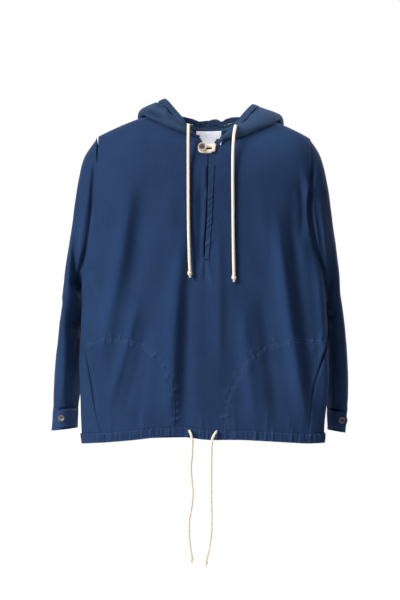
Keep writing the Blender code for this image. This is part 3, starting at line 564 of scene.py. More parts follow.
def crease_heights(across, up, rows):
    """Height of the creases at places given across and up the cloth, and how much paler their crests are
    painted: a painted highlight on the crests of folds, wear on the tips of puckers.
    """
    total = np.zeros(len(across))
    wear_and_highlight = np.zeros(len(across))
    steps = np.linspace(0, 1, 13)
    for row in rows:
        first_x, first_z, middle_x, middle_z, last_x, last_z, width, height, lean = row
        line_x = (1 - steps) ** 2 * first_x + 2 * steps * (1 - steps) * middle_x + steps**2 * last_x
        line_z = (1 - steps) ** 2 * first_z + 2 * steps * (1 - steps) * middle_z + steps**2 * last_z
        reach = 3.2 * width * (1 + abs(lean))
        near = (across > line_x.min() - reach) & (across < line_x.max() + reach)
        near &= (up > line_z.min() - reach) & (up < line_z.max() + reach)
        index = np.flatnonzero(near)
        if not len(index):
            continue
        x, z = across[index], up[index]
        best = np.full(len(index), 1e9)
        side, place = np.zeros(len(index)), np.zeros(len(index))
        for n in range(len(steps) - 1):
            run_x, run_z = line_x[n + 1] - line_x[n], line_z[n + 1] - line_z[n]
            t = np.clip(((x - line_x[n]) * run_x + (z - line_z[n]) * run_z) / (run_x**2 + run_z**2), 0, 1)
            off_x, off_z = x - line_x[n] - t * run_x, z - line_z[n] - t * run_z
            away = np.hypot(off_x, off_z)
            closer = away < best
            best = np.where(closer, away, best)
            right_hand = np.sign(off_x * -run_z + off_z * run_x)
            side = np.where(closer, right_hand, side)
            place = np.where(closer, (n + t) / (len(steps) - 1), place)
        signed = best * side
        half = np.where(signed > 0, width * (1 - lean), width * (1 + lean))
        crest = np.exp(-((signed / half) ** 2))
        foot = width * (1 - lean) * 1.9
        trough = np.exp(-(((signed - foot) / (width * 0.9)) ** 2)) * abs(lean)
        fade = smooth(place / 0.3) * smooth((1 - place) / 0.3)
        total[index] += height * fade * (crest - trough * 0.6)
        # a crest made paler by its height: painted highlight on folds, wear on puckers
        wear_and_highlight[index] += fade * crest * max(height, 0.0) / 0.002
    return total, wear_and_highlight


def ripple(points, size):
    """A slow unevenness of the cloth, from crossed waves through space, so that neighbours agree."""
    x, y, z = (points * 1000).T
    bend = 9 * np.sin(z / 47) + 7 * np.sin((x + y) / 61 + 1)
    total = np.sin((x + 0.6 * y + 0.4 * z + bend) / 13)
    total += 0.8 * np.sin((z - 0.7 * x + 0.5 * y + bend) / 17 + 2)
    total += 0.6 * np.sin((0.3 * x - 0.4 * y - z) / 8.5 + bend / 11)
    total += 0.5 * np.sin((x + 1.3 * z - y) / 23 + 4)
    return size * total / 2.9


def gathers(first, last, spacing, foot, reach, height):
    """Crease rows for small uneven puckers that stand up side by side from a seam."""
    rows = []
    for n in range(round((last - first) / spacing)):
        x = first + (n + 0.5 + 0.28 * math.sin(n * 2.3)) * spacing
        top = foot + reach * (0.72 + 0.28 * math.sin(n * 1.7 + 1))
        lean = 0.007 * math.sin(n * 3.1)
        size = height * (0.7 + 0.3 * math.sin(n * 2.9 + 2))
        rows.append((x, foot, x + lean / 2, (foot + top) / 2, x + lean, top, spacing * 0.24, size, 0.0))
    return rows


def crossing(line, spacing, reach, height):
    """Crease rows for small uneven puckers that cross a stitched line."""
    rows = []
    route = Route([(x, 0.0, z) for x, z in line]).spaced(spacing)
    for n, point in enumerate(route[:-1]):
        ahead = (route[n + 1] - point).normalized()
        point = point + ahead * spacing * 0.45 * math.sin(n * 2.3 + 1)
        turn = 0.25 * math.sin(n * 1.9)
        over = Vector((-ahead.z + ahead.x * turn, 0, ahead.x + ahead.z * turn)).normalized()
        first = point + over * reach * (0.55 + 0.45 * math.sin(n * 2.9))
        last = point - over * reach * (0.55 + 0.45 * math.sin(n * 1.3 + 2))
        size = height * (0.65 + 0.35 * math.sin(n * 3.7 + 1))
        rows.append((first.x, first.z, point.x, point.z, last.x, last.z, 0.0029, size, 0.0))
    return rows


def beside(across, up, line, reach):
    """Distance from a line, above 0 on its left hand, and the place along it, within a reach."""
    away = np.full(len(across), reach)
    side, place = np.ones(len(across)), np.zeros(len(across))
    near = (across > min(x for x, z in line) - reach) & (across < max(x for x, z in line) + reach)
    near &= (up > min(z for x, z in line) - reach) & (up < max(z for x, z in line) + reach)
    index = np.flatnonzero(near)
    x, z = across[index], up[index]
    done = 0.0
    for (from_x, from_z), (to_x, to_z) in zip(line, line[1:]):
        run_x, run_z = to_x - from_x, to_z - from_z
        length = math.hypot(run_x, run_z)
        t = np.clip(((x - from_x) * run_x + (z - from_z) * run_z) / length**2, 0, 1)
        off_x, off_z = x - from_x - t * run_x, z - from_z - t * run_z
        far = np.hypot(off_x, off_z)
        closer = far < away[index]
        away[index] = np.where(closer, far, away[index])
        side[index] = np.where(closer, np.sign(run_x * off_z - run_z * off_x), side[index])
        place[index] = np.where(closer, done + t * length, place[index])
        done += length
    return away * side, place


def set_cut(mesh, across, up, circle=None):
    """The UV map of the flat cut, in metres. On a tube it joins up after a full circle."""
    layer = mesh.uv_layers.new(name="cut")
    corners = np.empty(len(mesh.loops), int)
    mesh.loops.foreach_get("vertex_index", corners)
    u, v = across[corners].copy(), up[corners]
    if circle is not None:
        for polygon in mesh.polygons:
            span = slice(polygon.loop_start, polygon.loop_start + polygon.loop_total)
            if u[span].max() - u[span].min() > circle / 2:
                u[span] = np.where(u[span] < 0, u[span] + circle, u[span])
    layer.data.foreach_set("uv", np.column_stack((u, v)).ravel())


def set_attribute(mesh, name, values):
    layer = mesh.attributes.new(name, "FLOAT", "POINT")
    layer.data.foreach_set("value", np.asarray(values, float))


def refine(mesh, finer):
    """Split the outer layer's faces where the cloth has finer form: one test for each round."""
    shell = bmesh.new()
    shell.from_mesh(mesh)
    for wanted in finer:
        faces = [face for face in shell.faces if face.material_index == 0]
        middles = np.array([face.calc_center_median() for face in faces])
        chosen = wanted(middles)
        edges = {edge for face, take in zip(faces, chosen) if take for edge in face.edges}
        bmesh.ops.subdivide_edges(shell, edges=list(edges), cuts=1, use_grid_fill=True)
    shell.to_mesh(mesh)
    shell.free()


def tree_of(points):
    """A search tree of points."""
    tree = KDTree(len(points))
    for n, point in enumerate(points):
        tree.insert(point, n)
    tree.balance()
    return tree


def tuck(mesh, points, rows):
    """Points with parts of the rim moved: each row tells which part, its move and how far this reaches."""
    rim = sorted({v for polygon in mesh.polygons if polygon.material_index == 2 for v in polygon.vertices})
    moved = points.copy()
    for keep, move, reach in rows:
        tree = tree_of([points[v] for v in rim if keep(points[v])])
        for v, point in enumerate(points):
            far = tree.find(point)[2]
            if far < reach:
                moved[v] += np.array(move(point)) * (1 - smooth(far / reach))
    return moved


def dress(
    node, name, wall, levels, outward, chart, form, finishes, slot,
    circle=None, finer=(), tucks=(), sag=None,
):
    """A shell of cloth in a CAD node's place, with its creases, its flat cut, and its paleness from wear
    and from a painted highlight on the crests.
    """
    piece = merged_copy(node, name)
    mark_layers(piece, wall, outward)
    for finish in finishes:
        piece.data.materials.append(finish)
    finest = {"levels": levels, "render_levels": levels, "boundary_smooth": "PRESERVE_CORNERS"}
    apply_modifier(piece, "SUBSURF", "cloth", **finest)
    mesh = piece.data
    refine(mesh, finer)
    points = coordinates(mesh)
    across, up = chart(points)
    heights, wear_and_highlight = form(points, across, up)
    out = outward_directions(mesh)
    points = tuck(mesh, points, tucks)
    if sag:
        points[:, 2] += sag(points)
    points = points + out * heights[:, None]
    mesh.vertices.foreach_set("co", points.ravel())
    mesh.update()
    mesh.shade_smooth()
    set_cut(mesh, across, up, circle)
    # paleness for the cloth material: wear, and a painted highlight on the crests
    set_attribute(mesh, "wear_and_crest_highlight", np.clip(wear_and_highlight, 0, 1))
    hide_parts(node)
    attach(piece, "root")
    return piece


class Skin:
    """The dressed cloth of some pieces, on which other pieces are laid."""

    def __init__(self, *pieces):
        points, faces = [], []
        for piece in pieces:
            base = len(points)
            points += [v.co.copy() for v in piece.data.vertices]
            faces += [tuple(base + i for i in p.vertices) for p in piece.data.polygons]
        self.tree = BVHTree.FromPolygons(points, faces)

    def drop(self, start, direction):
        """Where a straight line from the start meets the cloth, and the cloth's outer normal there."""
        place, normal, index, far = self.tree.ray_cast(Vector(start), Vector(direction).normalized())
        if place is None:
            return None
        return place, normal

    def nearest(self, point):
        place, normal, index, far = self.tree.find_nearest(Vector(point))
        return place, normal


def rim_lines(piece, keep, inset):
    """Runs of points along the outer layer's edges, set in from the edge, with their normals."""
    shell = bmesh.new()
    shell.from_mesh(piece.data)
    edges = []
    for edge in shell.edges:
        outer = [f for f in edge.link_faces if f.material_index == 0]
        rim = [f for f in edge.link_faces if f.material_index == 2]
        if len(outer) == 1 and rim:
            edges.append((edge, outer[0]))
    links = {}
    for edge, face in edges:
        for vert in edge.verts:
            links.setdefault(vert, []).append((edge, face))
    runs, used = [], set()

    def wanted(edge):
        return keep((edge.verts[0].co + edge.verts[1].co) / 2)

    for start_edge, start_face in edges:
        if start_edge in used or not wanted(start_edge):
            continue
        used.add(start_edge)
        chain = [(start_edge, start_face)]
        for end in (0, 1):
            vert, current = start_edge.verts[end], start_edge
            while True:
                following = [p for p in links[vert] if p[0] not in used and wanted(p[0])]
                if not following:
                    break
                current, face = following[0]
                used.add(current)
                chain.append((current, face)) if end else chain.insert(0, (current, face))
                vert = current.other_vert(vert)
        run = []
        for edge, face in chain:
            middle = (edge.verts[0].co + edge.verts[1].co) / 2
            inward = face.calc_center_median() - middle
            along = (edge.verts[1].co - edge.verts[0].co).normalized()
            inward -= along * inward.dot(along)
            run.append((middle + inward.normalized() * inset, face.normal.copy()))
        runs.append(run)
    shell.free()
    return runs


def bead():
    """One stitch's shape, a small pill along X, from a sphere primitive."""
    bpy.ops.object.select_all(action="DESELECT")
    bpy.ops.mesh.primitive_uv_sphere_add(segments=6, ring_count=4, radius=1.0)
    made = bpy.context.active_object
    bpy.ops.object.mode_set(mode="EDIT")
    bpy.ops.mesh.select_all(action="SELECT")
    bpy.ops.transform.rotate(value=math.pi / 2, orient_axis="Y", center_override=(0, 0, 0))
    bpy.ops.object.mode_set(mode="OBJECT")
    points = coordinates(made.data)
    faces = sorted(tuple(p.vertices) for p in made.data.polygons)  # the sphere's own order varies
    bpy.data.objects.remove(made)
    return points, faces


def stitched(name, stitches, finish, width=0.00055, proud=0.00032):
    """One mesh of all the stitches: each has its middle, its direction, its normal and its length."""
    shape, sides = bead()
    points, faces = [], []
    for middle, along, normal, length in stitches:
        base = len(points)
        along = (along - normal * along.dot(normal)).normalized()
        across = normal.cross(along)
        for x, y, z in shape:
            bulge = math.copysign(abs(x) ** 0.7, x) * length / 2
            points.append(middle + along * bulge + across * (y * width / 2) + normal * (z * proud))
        faces += [tuple(base + i for i in side) for side in sides]
    piece = add(name, mesh_from(name, points, faces), finish)
    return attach(piece, "root")


def stitches_along(route, normals, pitch, length):
    """Stitches spaced evenly along a run of points, very slightly uneven."""
    along = [0.0]
    for a, b in zip(route, route[1:]):
        along.append(along[-1] + (b - a).length)
    if along[-1] < pitch:
        return []
    count = int(along[-1] / pitch)
    found, i = [], 0
    for n in range(count):
        goal = (n + 0.5) * along[-1] / count
        while i < len(along) - 2 and along[i + 1] < goal:
            i += 1
        t = (goal - along[i]) / max(along[i + 1] - along[i], 1e-9)
        drift = 0.06 * math.sin(n * 2.4)
        normal = normals[i].lerp(normals[i + 1], t).normalized()
        side = (route[i + 1] - route[i]).normalized().cross(normal)
        middle = route[i].lerp(route[i + 1], t) + side * drift * length * 0.4
        found.append((middle, route[i + 1] - route[i], normal, length * (1 + drift)))
    return found


def laid_stitches(skin, points, pitch, length):
    """Stitches laid on the cloth where lines from in front of the points meet it."""
    back = Vector((0, 1, 0))
    route, normals = [], []
    for point in points:
        hit = skin.drop(Vector(point) - back * 0.3, back)
        if hit:
            place, normal = hit
            if normal.dot(back) > 0:
                normal.negate()
            route.append(place + normal * ABOVE_CLOTH)
            normals.append(normal)
    return stitches_along(route, normals, pitch, length)


def rim_stitches(piece, keep, inset, pitch, length):
    """Stitches beside the edges of a dressed piece."""
    skin = Skin(piece)
    found = []
    for run in rim_lines(piece, keep, inset):
        route, normals = [], []
        for point, normal in run:
            place, cloth_normal = skin.nearest(point + normal * 0.0004)
            route.append(place + cloth_normal * ABOVE_CLOTH)
            normals.append(cloth_normal)
        found += stitches_along(route, normals, pitch, length)
    return found


# ---- charts and forms of the cloth ----


def body_outward(point):
    return Vector((point.x * 0.4, point.y + 0.01, max(point.z + 0.05, 0.0) * 1.5)).normalized()


def body_chart(points):
    """Across and up the body. Across grows by the arc round the sides."""
    turn = np.arctan2(points[:, 0] / 0.245, -(points[:, 1] + 0.03) / 0.09)
    return points[:, 0] + 0.02 * np.sin(turn * 2), points[:, 2]


def sleeve_axis(side, up):
    """Middle of the sleeve at a height: x and y."""
    t = np.clip((up + 0.15) / -0.47, -0.3, 1.2)
    return SIDES[side] * (0.230 + 0.045 * t), -0.002 + 0.012 * t


def sleeve_outward(side):
    def away(point):
        x, y = sleeve_axis(side, point.z)
        return Vector((point.x - x, point.y - y, 0)).normalized()

    return away


def sleeve_turn(side, points):
    """Turn round the sleeve: 0 outside, a quarter at the front, a half inside."""
    x, y = sleeve_axis(side, points[:, 2])
    return np.arctan2(-(points[:, 1] - y), SIDES[side] * (points[:, 0] - x) * 2.2)


def sleeve_chart(side):
    def chart(points):
        return sleeve_turn(side, points) * ARM_RADIUS, points[:, 2]

    return chart


def casing_seam(x):
    """Height of the seam over the hem casing, read from the casing's CAD nodes."""
    return np.interp(x, *HEM_TOP)


def hem_top():
    points = coordinates(frame["nodes"]["hem_front"].data)
    places = np.linspace(points[:, 0].min() + 0.01, points[:, 0].max() - 0.01, 24)
    heights = [points[np.abs(points[:, 0] - place) < 0.012, 2].max() for place in places]
    return places, np.array(heights)


HEM_TOP = hem_top()
FRONT_GATHERS = gathers(-0.196, 0.200, 0.0165, -0.690, 0.115, 0.0013)
FRONT_GATHERS += gathers(-0.216, 0.226, 0.0094, -0.672, 0.062, 0.0015)
BACK_GATHERS = gathers(-0.236, 0.236, 0.0175, -0.690, 0.115, 0.0013)
BACK_GATHERS += gathers(-0.236, 0.236, 0.0094, -0.672, 0.062, 0.0014)
SLEEVE_GATHERS = gathers(-0.173, 0.173, 0.0150, -0.615, 0.075, 0.0012)


def body_form(points, across, up):
    """Creases, gathers and unevenness of the body: one form for all its pieces, so seams agree."""
    x, y = points[:, 0], points[:, 1]
    heights, wear_and_highlight = np.zeros(len(x)), np.zeros(len(x))
    pinch = 1 - 0.6 * np.exp(-(((up - casing_seam(x)) / 0.004) ** 2))
    for rows, small, share in (
        (FRONT_CREASES, FRONT_GATHERS, smooth((0.015 - y) / 0.03)),
        (BACK_CREASES, BACK_GATHERS, smooth((0.015 + y) / 0.03)),
    ):
        folds, crests = crease_heights(x, up, rows)
        puckers, tips = crease_heights(x, up, small)
        heights += share * (folds + puckers * pinch)
        # crests made paler: painted highlight on the folds, wear on the puckers' tips
        wear_and_highlight += share * (crests * 0.35 + tips * 0.6)
    return heights + ripple(points, UNEVEN), wear_and_highlight


POCKET_PUCKERS = {side: crossing(line, 0.0100, 0.017, 0.0017) for side, line in POCKET_LINE.items()}


def slit_edge():
    """Heights along the slit and where its facing starts there, read from the CAD node."""
    points = coordinates(frame["nodes"]["slit_facing"].data)
    levels = np.linspace(points[:, 2].min(), points[:, 2].max(), 14)
    reach = (levels[1] - levels[0]) * 0.8
    return levels, [points[np.abs(points[:, 2] - level) < reach, 0].min() for level in levels]


SLIT_LEVELS, SLIT_LINE = slit_edge()


def lip_form(x, up):
    """The free lip of the slit: a small crest, then the turn into the opening."""
    away = np.interp(up, SLIT_LEVELS, SLIT_LINE) - x
    ends = smooth((up - SLIT_LEVELS[0]) / 0.012) * smooth((SLIT_LEVELS[-1] - up) / 0.010)
    turn = 0.0032 * np.exp(-((away / 0.0027) ** 2)) * (away > -0.0008)
    return ends * (0.0010 * np.exp(-(((away - 0.0075) / 0.0032) ** 2)) - turn)


def front_form(points, across, up):
    """The body's form, with the slit's lip and the pocket bags' stitched outlines in it."""
    x = points[:, 0]
    heights, wear_and_highlight = body_form(points, across, up)
    heights += lip_form(x, up)
    for side, line in POCKET_LINE.items():
        away, along = beside(x, up, line, NEAR_POCKET)
        inside = away * SIDES[side]
        near = np.abs(away) < 0.0299
        heights += near * 0.0008 * smooth(inside / 0.003) * (1 - smooth((inside - 0.010) / 0.016))
        puckers, tips = crease_heights(x, up, POCKET_PUCKERS[side])
        heights += puckers
        wear_and_highlight += tips * 0.5
        for row in POCKET_ROWS:
            groove = near * np.exp(-(((inside - row) / 0.0017) ** 2))
            heights -= 0.0005 * groove
            wear_and_highlight += 0.25 * groove
    return heights, wear_and_highlight


def hem_form(points, across, up):
    """The body's form on the casing, pressed in where it is sewn and plump between."""
    heights, wear_and_highlight = body_form(points, across, up)
    down = casing_seam(points[:, 0]) - up
    heights -= 0.0004 * np.exp(-(((down - 0.0022) / 0.0012) ** 2))
    plump = np.sin(np.clip(down / CASING, 0, 1) * math.pi)
    x = points[:, 0]
    heights += 0.0006 * plump
    pleats = (0.6 + 0.4 * np.sin(x * 61 + 1)) * np.sin(x * 720 + 2 * np.sin(x * 93))
    heights += 0.0006 * np.sqrt(plump) * pleats
    return heights, wear_and_highlight + 0.25 * smooth((down - CASING * 0.8) / 0.003)


def facing_rolls():
    """Crease rows for the rumpled roll along the slit: short slanting ridges of uneven size."""
    rows = []
    for n in range(14):
        top = -0.094 - 0.0138 * n - 0.003 * math.sin(n * 2.1)
        size = (0.0012 + 0.0007 * math.sin(n * 1.9)) * min(1, 0.4 + 0.1 * n)
        drop = 0.020 + 0.005 * math.sin(n * 2.7)
        rows.append((0.024, top, 0.012, top - drop * 0.6, 0.000, top - drop, 0.0026, size, 0.2))
    return tuple(rows)


FACING_CREASES = facing_rolls()


def facing_form(points, across, up):
    heights, wear_and_highlight = body_form(points, across, up)
    rolls, crests = crease_heights(points[:, 0], up, FACING_CREASES)
    # the rolls' crests made paler: painted highlight
    return heights + np.maximum(rolls, 0), wear_and_highlight + crests * 0.6


def near_pockets(reach):
    def wanted(middles):
        chosen = np.zeros(len(middles), bool)
        for line in POCKET_LINE.values():
            away, along = beside(middles[:, 0], middles[:, 2], line, NEAR_POCKET)
            chosen |= (np.abs(away) < reach) & (middles[:, 1] < 0)
        return chosen

    return wanted


def near_slit(middles):
    away = np.interp(middles[:, 2], SLIT_LEVELS, SLIT_LINE) - middles[:, 0]
    return (np.abs(away - 0.004) < 0.009) & (middles[:, 2] > SLIT_LEVELS[0]) & (middles[:, 1] < 0)


def near_hem(middles):
    return middles[:, 2] < -0.570


def at_shoulder(point):
    return abs(point[0]) > 0.088 and point[2] > -0.060


def over_seam(point):
    return (0, math.copysign(0.0006, -point[1]), -0.0002)


def low_rim(point):
    return point[2] < casing_seam(point[0]) + 0.006


def into_casing(point):
    return (0, 0, -0.0026)


def front_detail(middles):
    slit = (np.abs(middles[:, 0] - 0.004) < 0.026) & (middles[:, 2] > -0.350)
    return near_hem(middles) | near_pockets(0.019)(middles) | slit


def sleeve_form(points, across, up):
    """Creases of a sleeve, held flat towards the armhole."""
    held = smooth((np.abs(across) - 0.100) / 0.030) * smooth((up + 0.350) / 0.020)
    held = np.maximum(held, smooth((up + 0.130) / 0.050))
    folds, crests = crease_heights(across, up, SLEEVE_CREASES)
    puckers, tips = crease_heights(across, up, SLEEVE_GATHERS)
    # crests made paler: painted highlight on the folds, wear on the cuff puckers' tips
    return ripple(points, UNEVEN) + folds * (1 - held) + puckers, crests * 0.35 + tips * 0.5


def tab_outline():
    """Places along both tabs' sharp edges, read from their CAD nodes."""
    places = []
    for side in SIDES:
        plate = bmesh.new()
        plate.from_mesh(frame["nodes"][f"tab_{side}"].data)
        bmesh.ops.remove_doubles(plate, verts=plate.verts, dist=0.00002)
        for edge in plate.edges:
            if edge.calc_face_angle(0.0) > math.radians(50):
                first, last = (v.co for v in edge.verts)
                places += [first.lerp(last, n / 6) for n in range(7)]
        plate.free()
    return tree_of(places)


TAB_OUTLINE = tab_outline()


def cuff_form(points, across, up):
    """A cuff, a little uneven, and pressed in around its tab."""
    away = np.array([TAB_OUTLINE.find(point)[2] for point in points])
    groove = np.exp(-(((away - 0.0016) / 0.0015) ** 2))
    heights = ripple(points, UNEVEN) + 0.0003 * np.sin(across * 260 + up * 90) - 0.0026 * groove
    # the whole cuff paler than the sleeve
    return heights, np.full(len(up), 0.55)


def tab_form(points, across, up):
    # the tab paler than the cuff, all over
    return ripple(points, UNEVEN) + 0.0010, np.full(len(up), 0.85)


def hood_form(points, across, up):
    x, y = points[:, 0], points[:, 1]
    heights, wear_and_highlight = ripple(points, UNEVEN_HOOD), np.zeros(len(x))
    for rows, share in (
        (HOOD_FRONT_CREASES, smooth((0.030 - y) / 0.03)),
        (HOOD_BACK_CREASES, smooth((y - 0.030) / 0.03)),
    ):
        folds, crests = crease_heights(x, points[:, 2], rows)
        heights += share * folds
        # crests made paler: painted highlight on the hood's folds
        wear_and_highlight += share * crests * 0.5
    return heights, wear_and_highlight


def casing_middle():
    """Points along the middle of the hood casing, read from its CAD node."""
    points = coordinates(frame["nodes"]["hood_casing"].data)
    turn = np.arctan2(points[:, 0] - NECK_MIDDLE, -points[:, 1])
    order = np.linspace(turn.min(), turn.max(), 90)
    return [points[np.abs(turn - place) < 0.06].mean(axis=0) for place in order]


def casing_ends():
    """Where the hood's seam starts under each end of its casing."""
    points = coordinates(frame["nodes"]["hood_casing"].data)
    across = points[:, 0] - NECK_MIDDLE
    low = np.arctan2(np.abs(across), -points[:, 1]) < math.radians(15.5)
    ends = {}
    for side, sign in SIDES.items():
        ends[side] = max(points[low & (across * sign > 0)], key=lambda p: abs(p[0] - NECK_MIDDLE))
    return ends


HOOD_EDGE = casing_middle()
HOOD_ENDS = casing_ends()


def neck_lumps(points):
    """How far the hood's edge rises and sags behind the neck."""
    x, y, z = points.T
    line = 0.0032 * np.exp(-(((x - 0.022) / 0.013) ** 2)) - 0.0044 * np.exp(-(((x - 0.039) / 0.006) ** 2))
    line += 0.0026 * np.exp(-(((x - 0.062) / 0.014) ** 2)) - 0.0030 * np.exp(-(((x + 0.008) / 0.009) ** 2))
    return line * smooth((y - 0.060) / 0.035) * smooth((z + 0.030) / 0.022)


def casing_form(points, across, up):
    """The hood casing: gathered a little along its cord, with a lumpy fold behind the neck."""
    x, y, z = points.T
    along = np.arctan2(x - NECK_MIDDLE, -y)
    heights = ripple(points, UNEVEN_HOOD) + 0.0005 * np.sin(along * 74 + 2 * np.sin(along * 9))
    heights += 0.0007 * smooth((y - 0.02) / 0.04) * np.sin(x * 150 + 0.6)
    return heights, 0.3 + 0.2 * np.sin(along * 74)


# The soft lamps: azimuth (0 is straight in front, 90 at the wearer's left), height, distance, size
# and power.
LAMPS = (
    ("key_light", -50, 24, 8.0, 3.2, 1180.0),
    ("top_light", -10, 66, 3.4, 1.8, 58.0),
    ("fill_light", 40, 8, 6.0, 3.0, 14.0),
    ("back_light", 140, 24, 3.8, 1.9, 100.0),
    ("far_light", -150, 24, 3.8, 1.9, 60.0),
)


# The small lamps, for the label, the hood's far half and a cuff: where each points, its place from
# there, power, degrees across and softness.
SPOTS = (
    ("neck_light", (0.012, 0.060, -0.034), (-0.25, -2.95, 0.62), 205.0, 1.9, 0.05),
    ("hood_light", (0.116, -0.030, 0.008), (0.90, -2.60, 1.20), 1000.0, 3.0, 0.10),
    ("cuff_light", (-0.268, -0.040, -0.610), (0.60, -2.85, 0.20), 1150.0, 1.5, 0.10),
)


class AnorakFinish(bpy.types.PropertyGroup):
    """Colours of the cloth, cords and small parts."""

    navy: bpy.props.FloatVectorProperty(
        name="Body cloth",
        description="Colour of the body, sleeves, cuffs and hem",
        subtype="COLOR",
        default=(0.0072, 0.0200, 0.0560),
    )
    hood: bpy.props.FloatVectorProperty(
        name="Hood cloth",
        description="Colour of the hood and its casing, a little more washed out",
        subtype="COLOR",
        default=(0.0108, 0.0238, 0.0520),
    )
    cream: bpy.props.FloatVectorProperty(
        name="Cord",
        description="Colour of the undyed cotton cords",
        subtype="COLOR",
        default=(0.62, 0.52, 0.40),
    )
    tape: bpy.props.FloatVectorProperty(
        name="Label",
        description="Colour of the bare neck label",
        subtype="COLOR",
        default=(0.86, 0.87, 0.96),
    )
    rim: bpy.props.FloatVectorProperty(
        name="Button rim",
        description="Colour of the neck button's raised rim",
        subtype="COLOR",
        default=(0.36, 0.27, 0.19),
    )
    dish: bpy.props.FloatVectorProperty(
        name="Button middle",
        description="Colour of the buttons' dished middles",
        subtype="COLOR",
        default=(0.045, 0.032, 0.026),
    )
    thread: bpy.props.FloatVectorProperty(
        name="Thread",
        description="Colour of the sewing thread",
        subtype="COLOR",
        default=(0.014, 0.036, 0.088),
    )


class AnorakSizes(bpy.types.PropertyGroup):
    """Sizes of the cloth's weave, its stitches and its cords."""

    weave: bpy.props.FloatProperty(
        name="Weave",
        description="Distance between two neighbouring yarns",
        default=0.0008,
        unit="LENGTH",
    )
    pitch: bpy.props.FloatProperty(
        name="Stitch pitch",
        description="Distance from one stitch to the next",
        default=0.0032,
        unit="LENGTH",
    )
    stitch: bpy.props.FloatProperty(
        name="Stitch length",
        description="Length of the thread that shows of a stitch",
        default=0.0025,
        unit="LENGTH",
    )
    hood_cord: bpy.props.FloatProperty(
        name="Hood cord",
        description="Diameter of the hood's cords",
        default=0.0062,
        unit="LENGTH",
    )
    hem_cord: bpy.props.FloatProperty(
        name="Hem cord",
        description="Diameter of the hem's cords",
        default=0.0050,
        unit="LENGTH",
    )


class AnorakStage(bpy.types.PropertyGroup):
    """The camera's and the floor's places."""

    distance: bpy.props.FloatProperty(
        name="Camera distance",
        description="From the camera to the front of the pullover",
        default=5.0,
        unit="LENGTH",
    )
    centre_x: bpy.props.FloatProperty(
        name="Camera x",
        description="Sideways place of the camera",
        default=-0.006,
        unit="LENGTH",
    )
    centre_z: bpy.props.FloatProperty(
        name="Camera height",
        description="Height of the camera",
        default=-0.364,
        unit="LENGTH",
    )
    floor: bpy.props.FloatProperty(
        name="Floor height",
        description="Height of the floor",
        default=-1.3,
        unit="LENGTH",
    )


def finishes_of(context):
    """The materials, made once from the colours and sizes."""
    scene = context.scene
    colours, sizes = scene.anorak_finish, scene.anorak_sizes
    made = bpy.data.materials
    if "navy_cotton" not in made:
        navy, hood = tuple(colours.navy), tuple(colours.hood)
        cloth_material("navy_cotton", navy, sizes)
        # painted shade: the body's inner layer gets its cloth a tenth darker
        cloth_material("navy_cotton_inside", shade(navy, 0.9), sizes)
        cloth_material("hood_cotton", hood, sizes)
        # painted shade: the hood's inner layer gets its cloth a tenth darker
        cloth_material("hood_cotton_inside", shade(hood, 0.9), sizes)
        cord_material(tuple(colours.cream))
        thread_material("navy_thread", tuple(colours.thread))
        thread_material("hood_thread", shade(tuple(colours.thread), 1.25))
        thread_material("white_thread", tuple(colours.tape))
        thread_material("dark_thread", shade(tuple(colours.navy), 0.7))
        horn_material(tuple(colours.rim), tuple(colours.dish))
        label_material(tuple(colours.tape))
    return made


def shells(context, kind):
    made = finishes_of(context)
    return made[f"{kind}_cotton"], made[f"{kind}_cotton_inside"], made[f"{kind}_cotton"]


# ---- operators ----


class ANORAK_OT_camera(bpy.types.Operator):
    """Add the camera, square to the front"""

    bl_idname = "anorak.camera"
    bl_label = "Camera"

    def execute(self, context):
        stage = context.scene.anorak_stage
        camera = bpy.data.objects.new("camera", bpy.data.cameras.new("camera"))
        context.scene.collection.objects.link(camera)
        camera.data.lens = 150.0
        camera.data.sensor_width = 36.0
        camera.data.sensor_fit = "AUTO"
        camera.location = (stage.centre_x, -0.1 - stage.distance, stage.centre_z)
        camera.rotation_euler = (math.pi / 2, 0, 0)
        context.scene.camera = camera
        return {"FINISHED"}


def tube(
    name, points, radius, finish,
    strands=4, pitch=0.0052, around=24, step=0.0007, relief=0.00016, taper=0.0,
):
    """A braided cord: a round tube on a route, its strands raised, with closed ends."""
    route = Route(points)
    line = route.spaced(step)
    directions = [(b - a).normalized() for a, b in zip(line, line[1:])]
    directions.append(directions[-1])
    side = directions[0].orthogonal().normalized()
    verts, strand = [], []
    for n, (point, ahead) in enumerate(zip(line, directions)):
        side = (side - ahead * side.dot(ahead)).normalized()
        other = ahead.cross(side)
        along = route.length * n / (len(line) - 1)
        size = radius * (1 - taper * along / route.length)
        for k in range(around):
            turn = 2 * math.pi * k / around
            one = math.cos(strands * turn + 2 * math.pi * along / pitch)
            two = math.cos(strands * turn - 2 * math.pi * along / pitch)
            raised = max(one, two)
            out = size + relief * (raised - 0.6)
            verts.append(point + (side * math.cos(turn) + other * math.sin(turn)) * out)
            strand.append(0.5 + 0.5 * raised)
    faces = []
    for n in range(len(line) - 1):
        for k in range(around):
            m = (k + 1) % around
            low, high = n * around, (n + 1) * around
            faces.append((low + k, low + m, high + m, high + k))
    for end, ring in ((0, 0), (-1, (len(line) - 1) * around)):
        verts.append(line[end] - directions[end] * radius * (0.15 if end == 0 else -0.15))
        strand.append(0.5)
        pole = len(verts) - 1
        for k in range(around):
            m = (k + 1) % around
            faces.append((pole, ring + m, ring + k) if end == 0 else (pole, ring + k, ring + m))
    mesh = mesh_from(name, verts, faces)
    # how raised each point's strand is; the cord material paints the low grooves darker as shade
    set_attribute(mesh, "strand", strand)
    return add(name, mesh, finish), line


def merge(name, pieces):
    """Several pieces joined to one mesh under a new name."""
    only(*pieces)
    bpy.ops.object.join()
    joined = bpy.context.view_layer.objects.active
    joined.name = name
    joined.data.name = name
    return joined


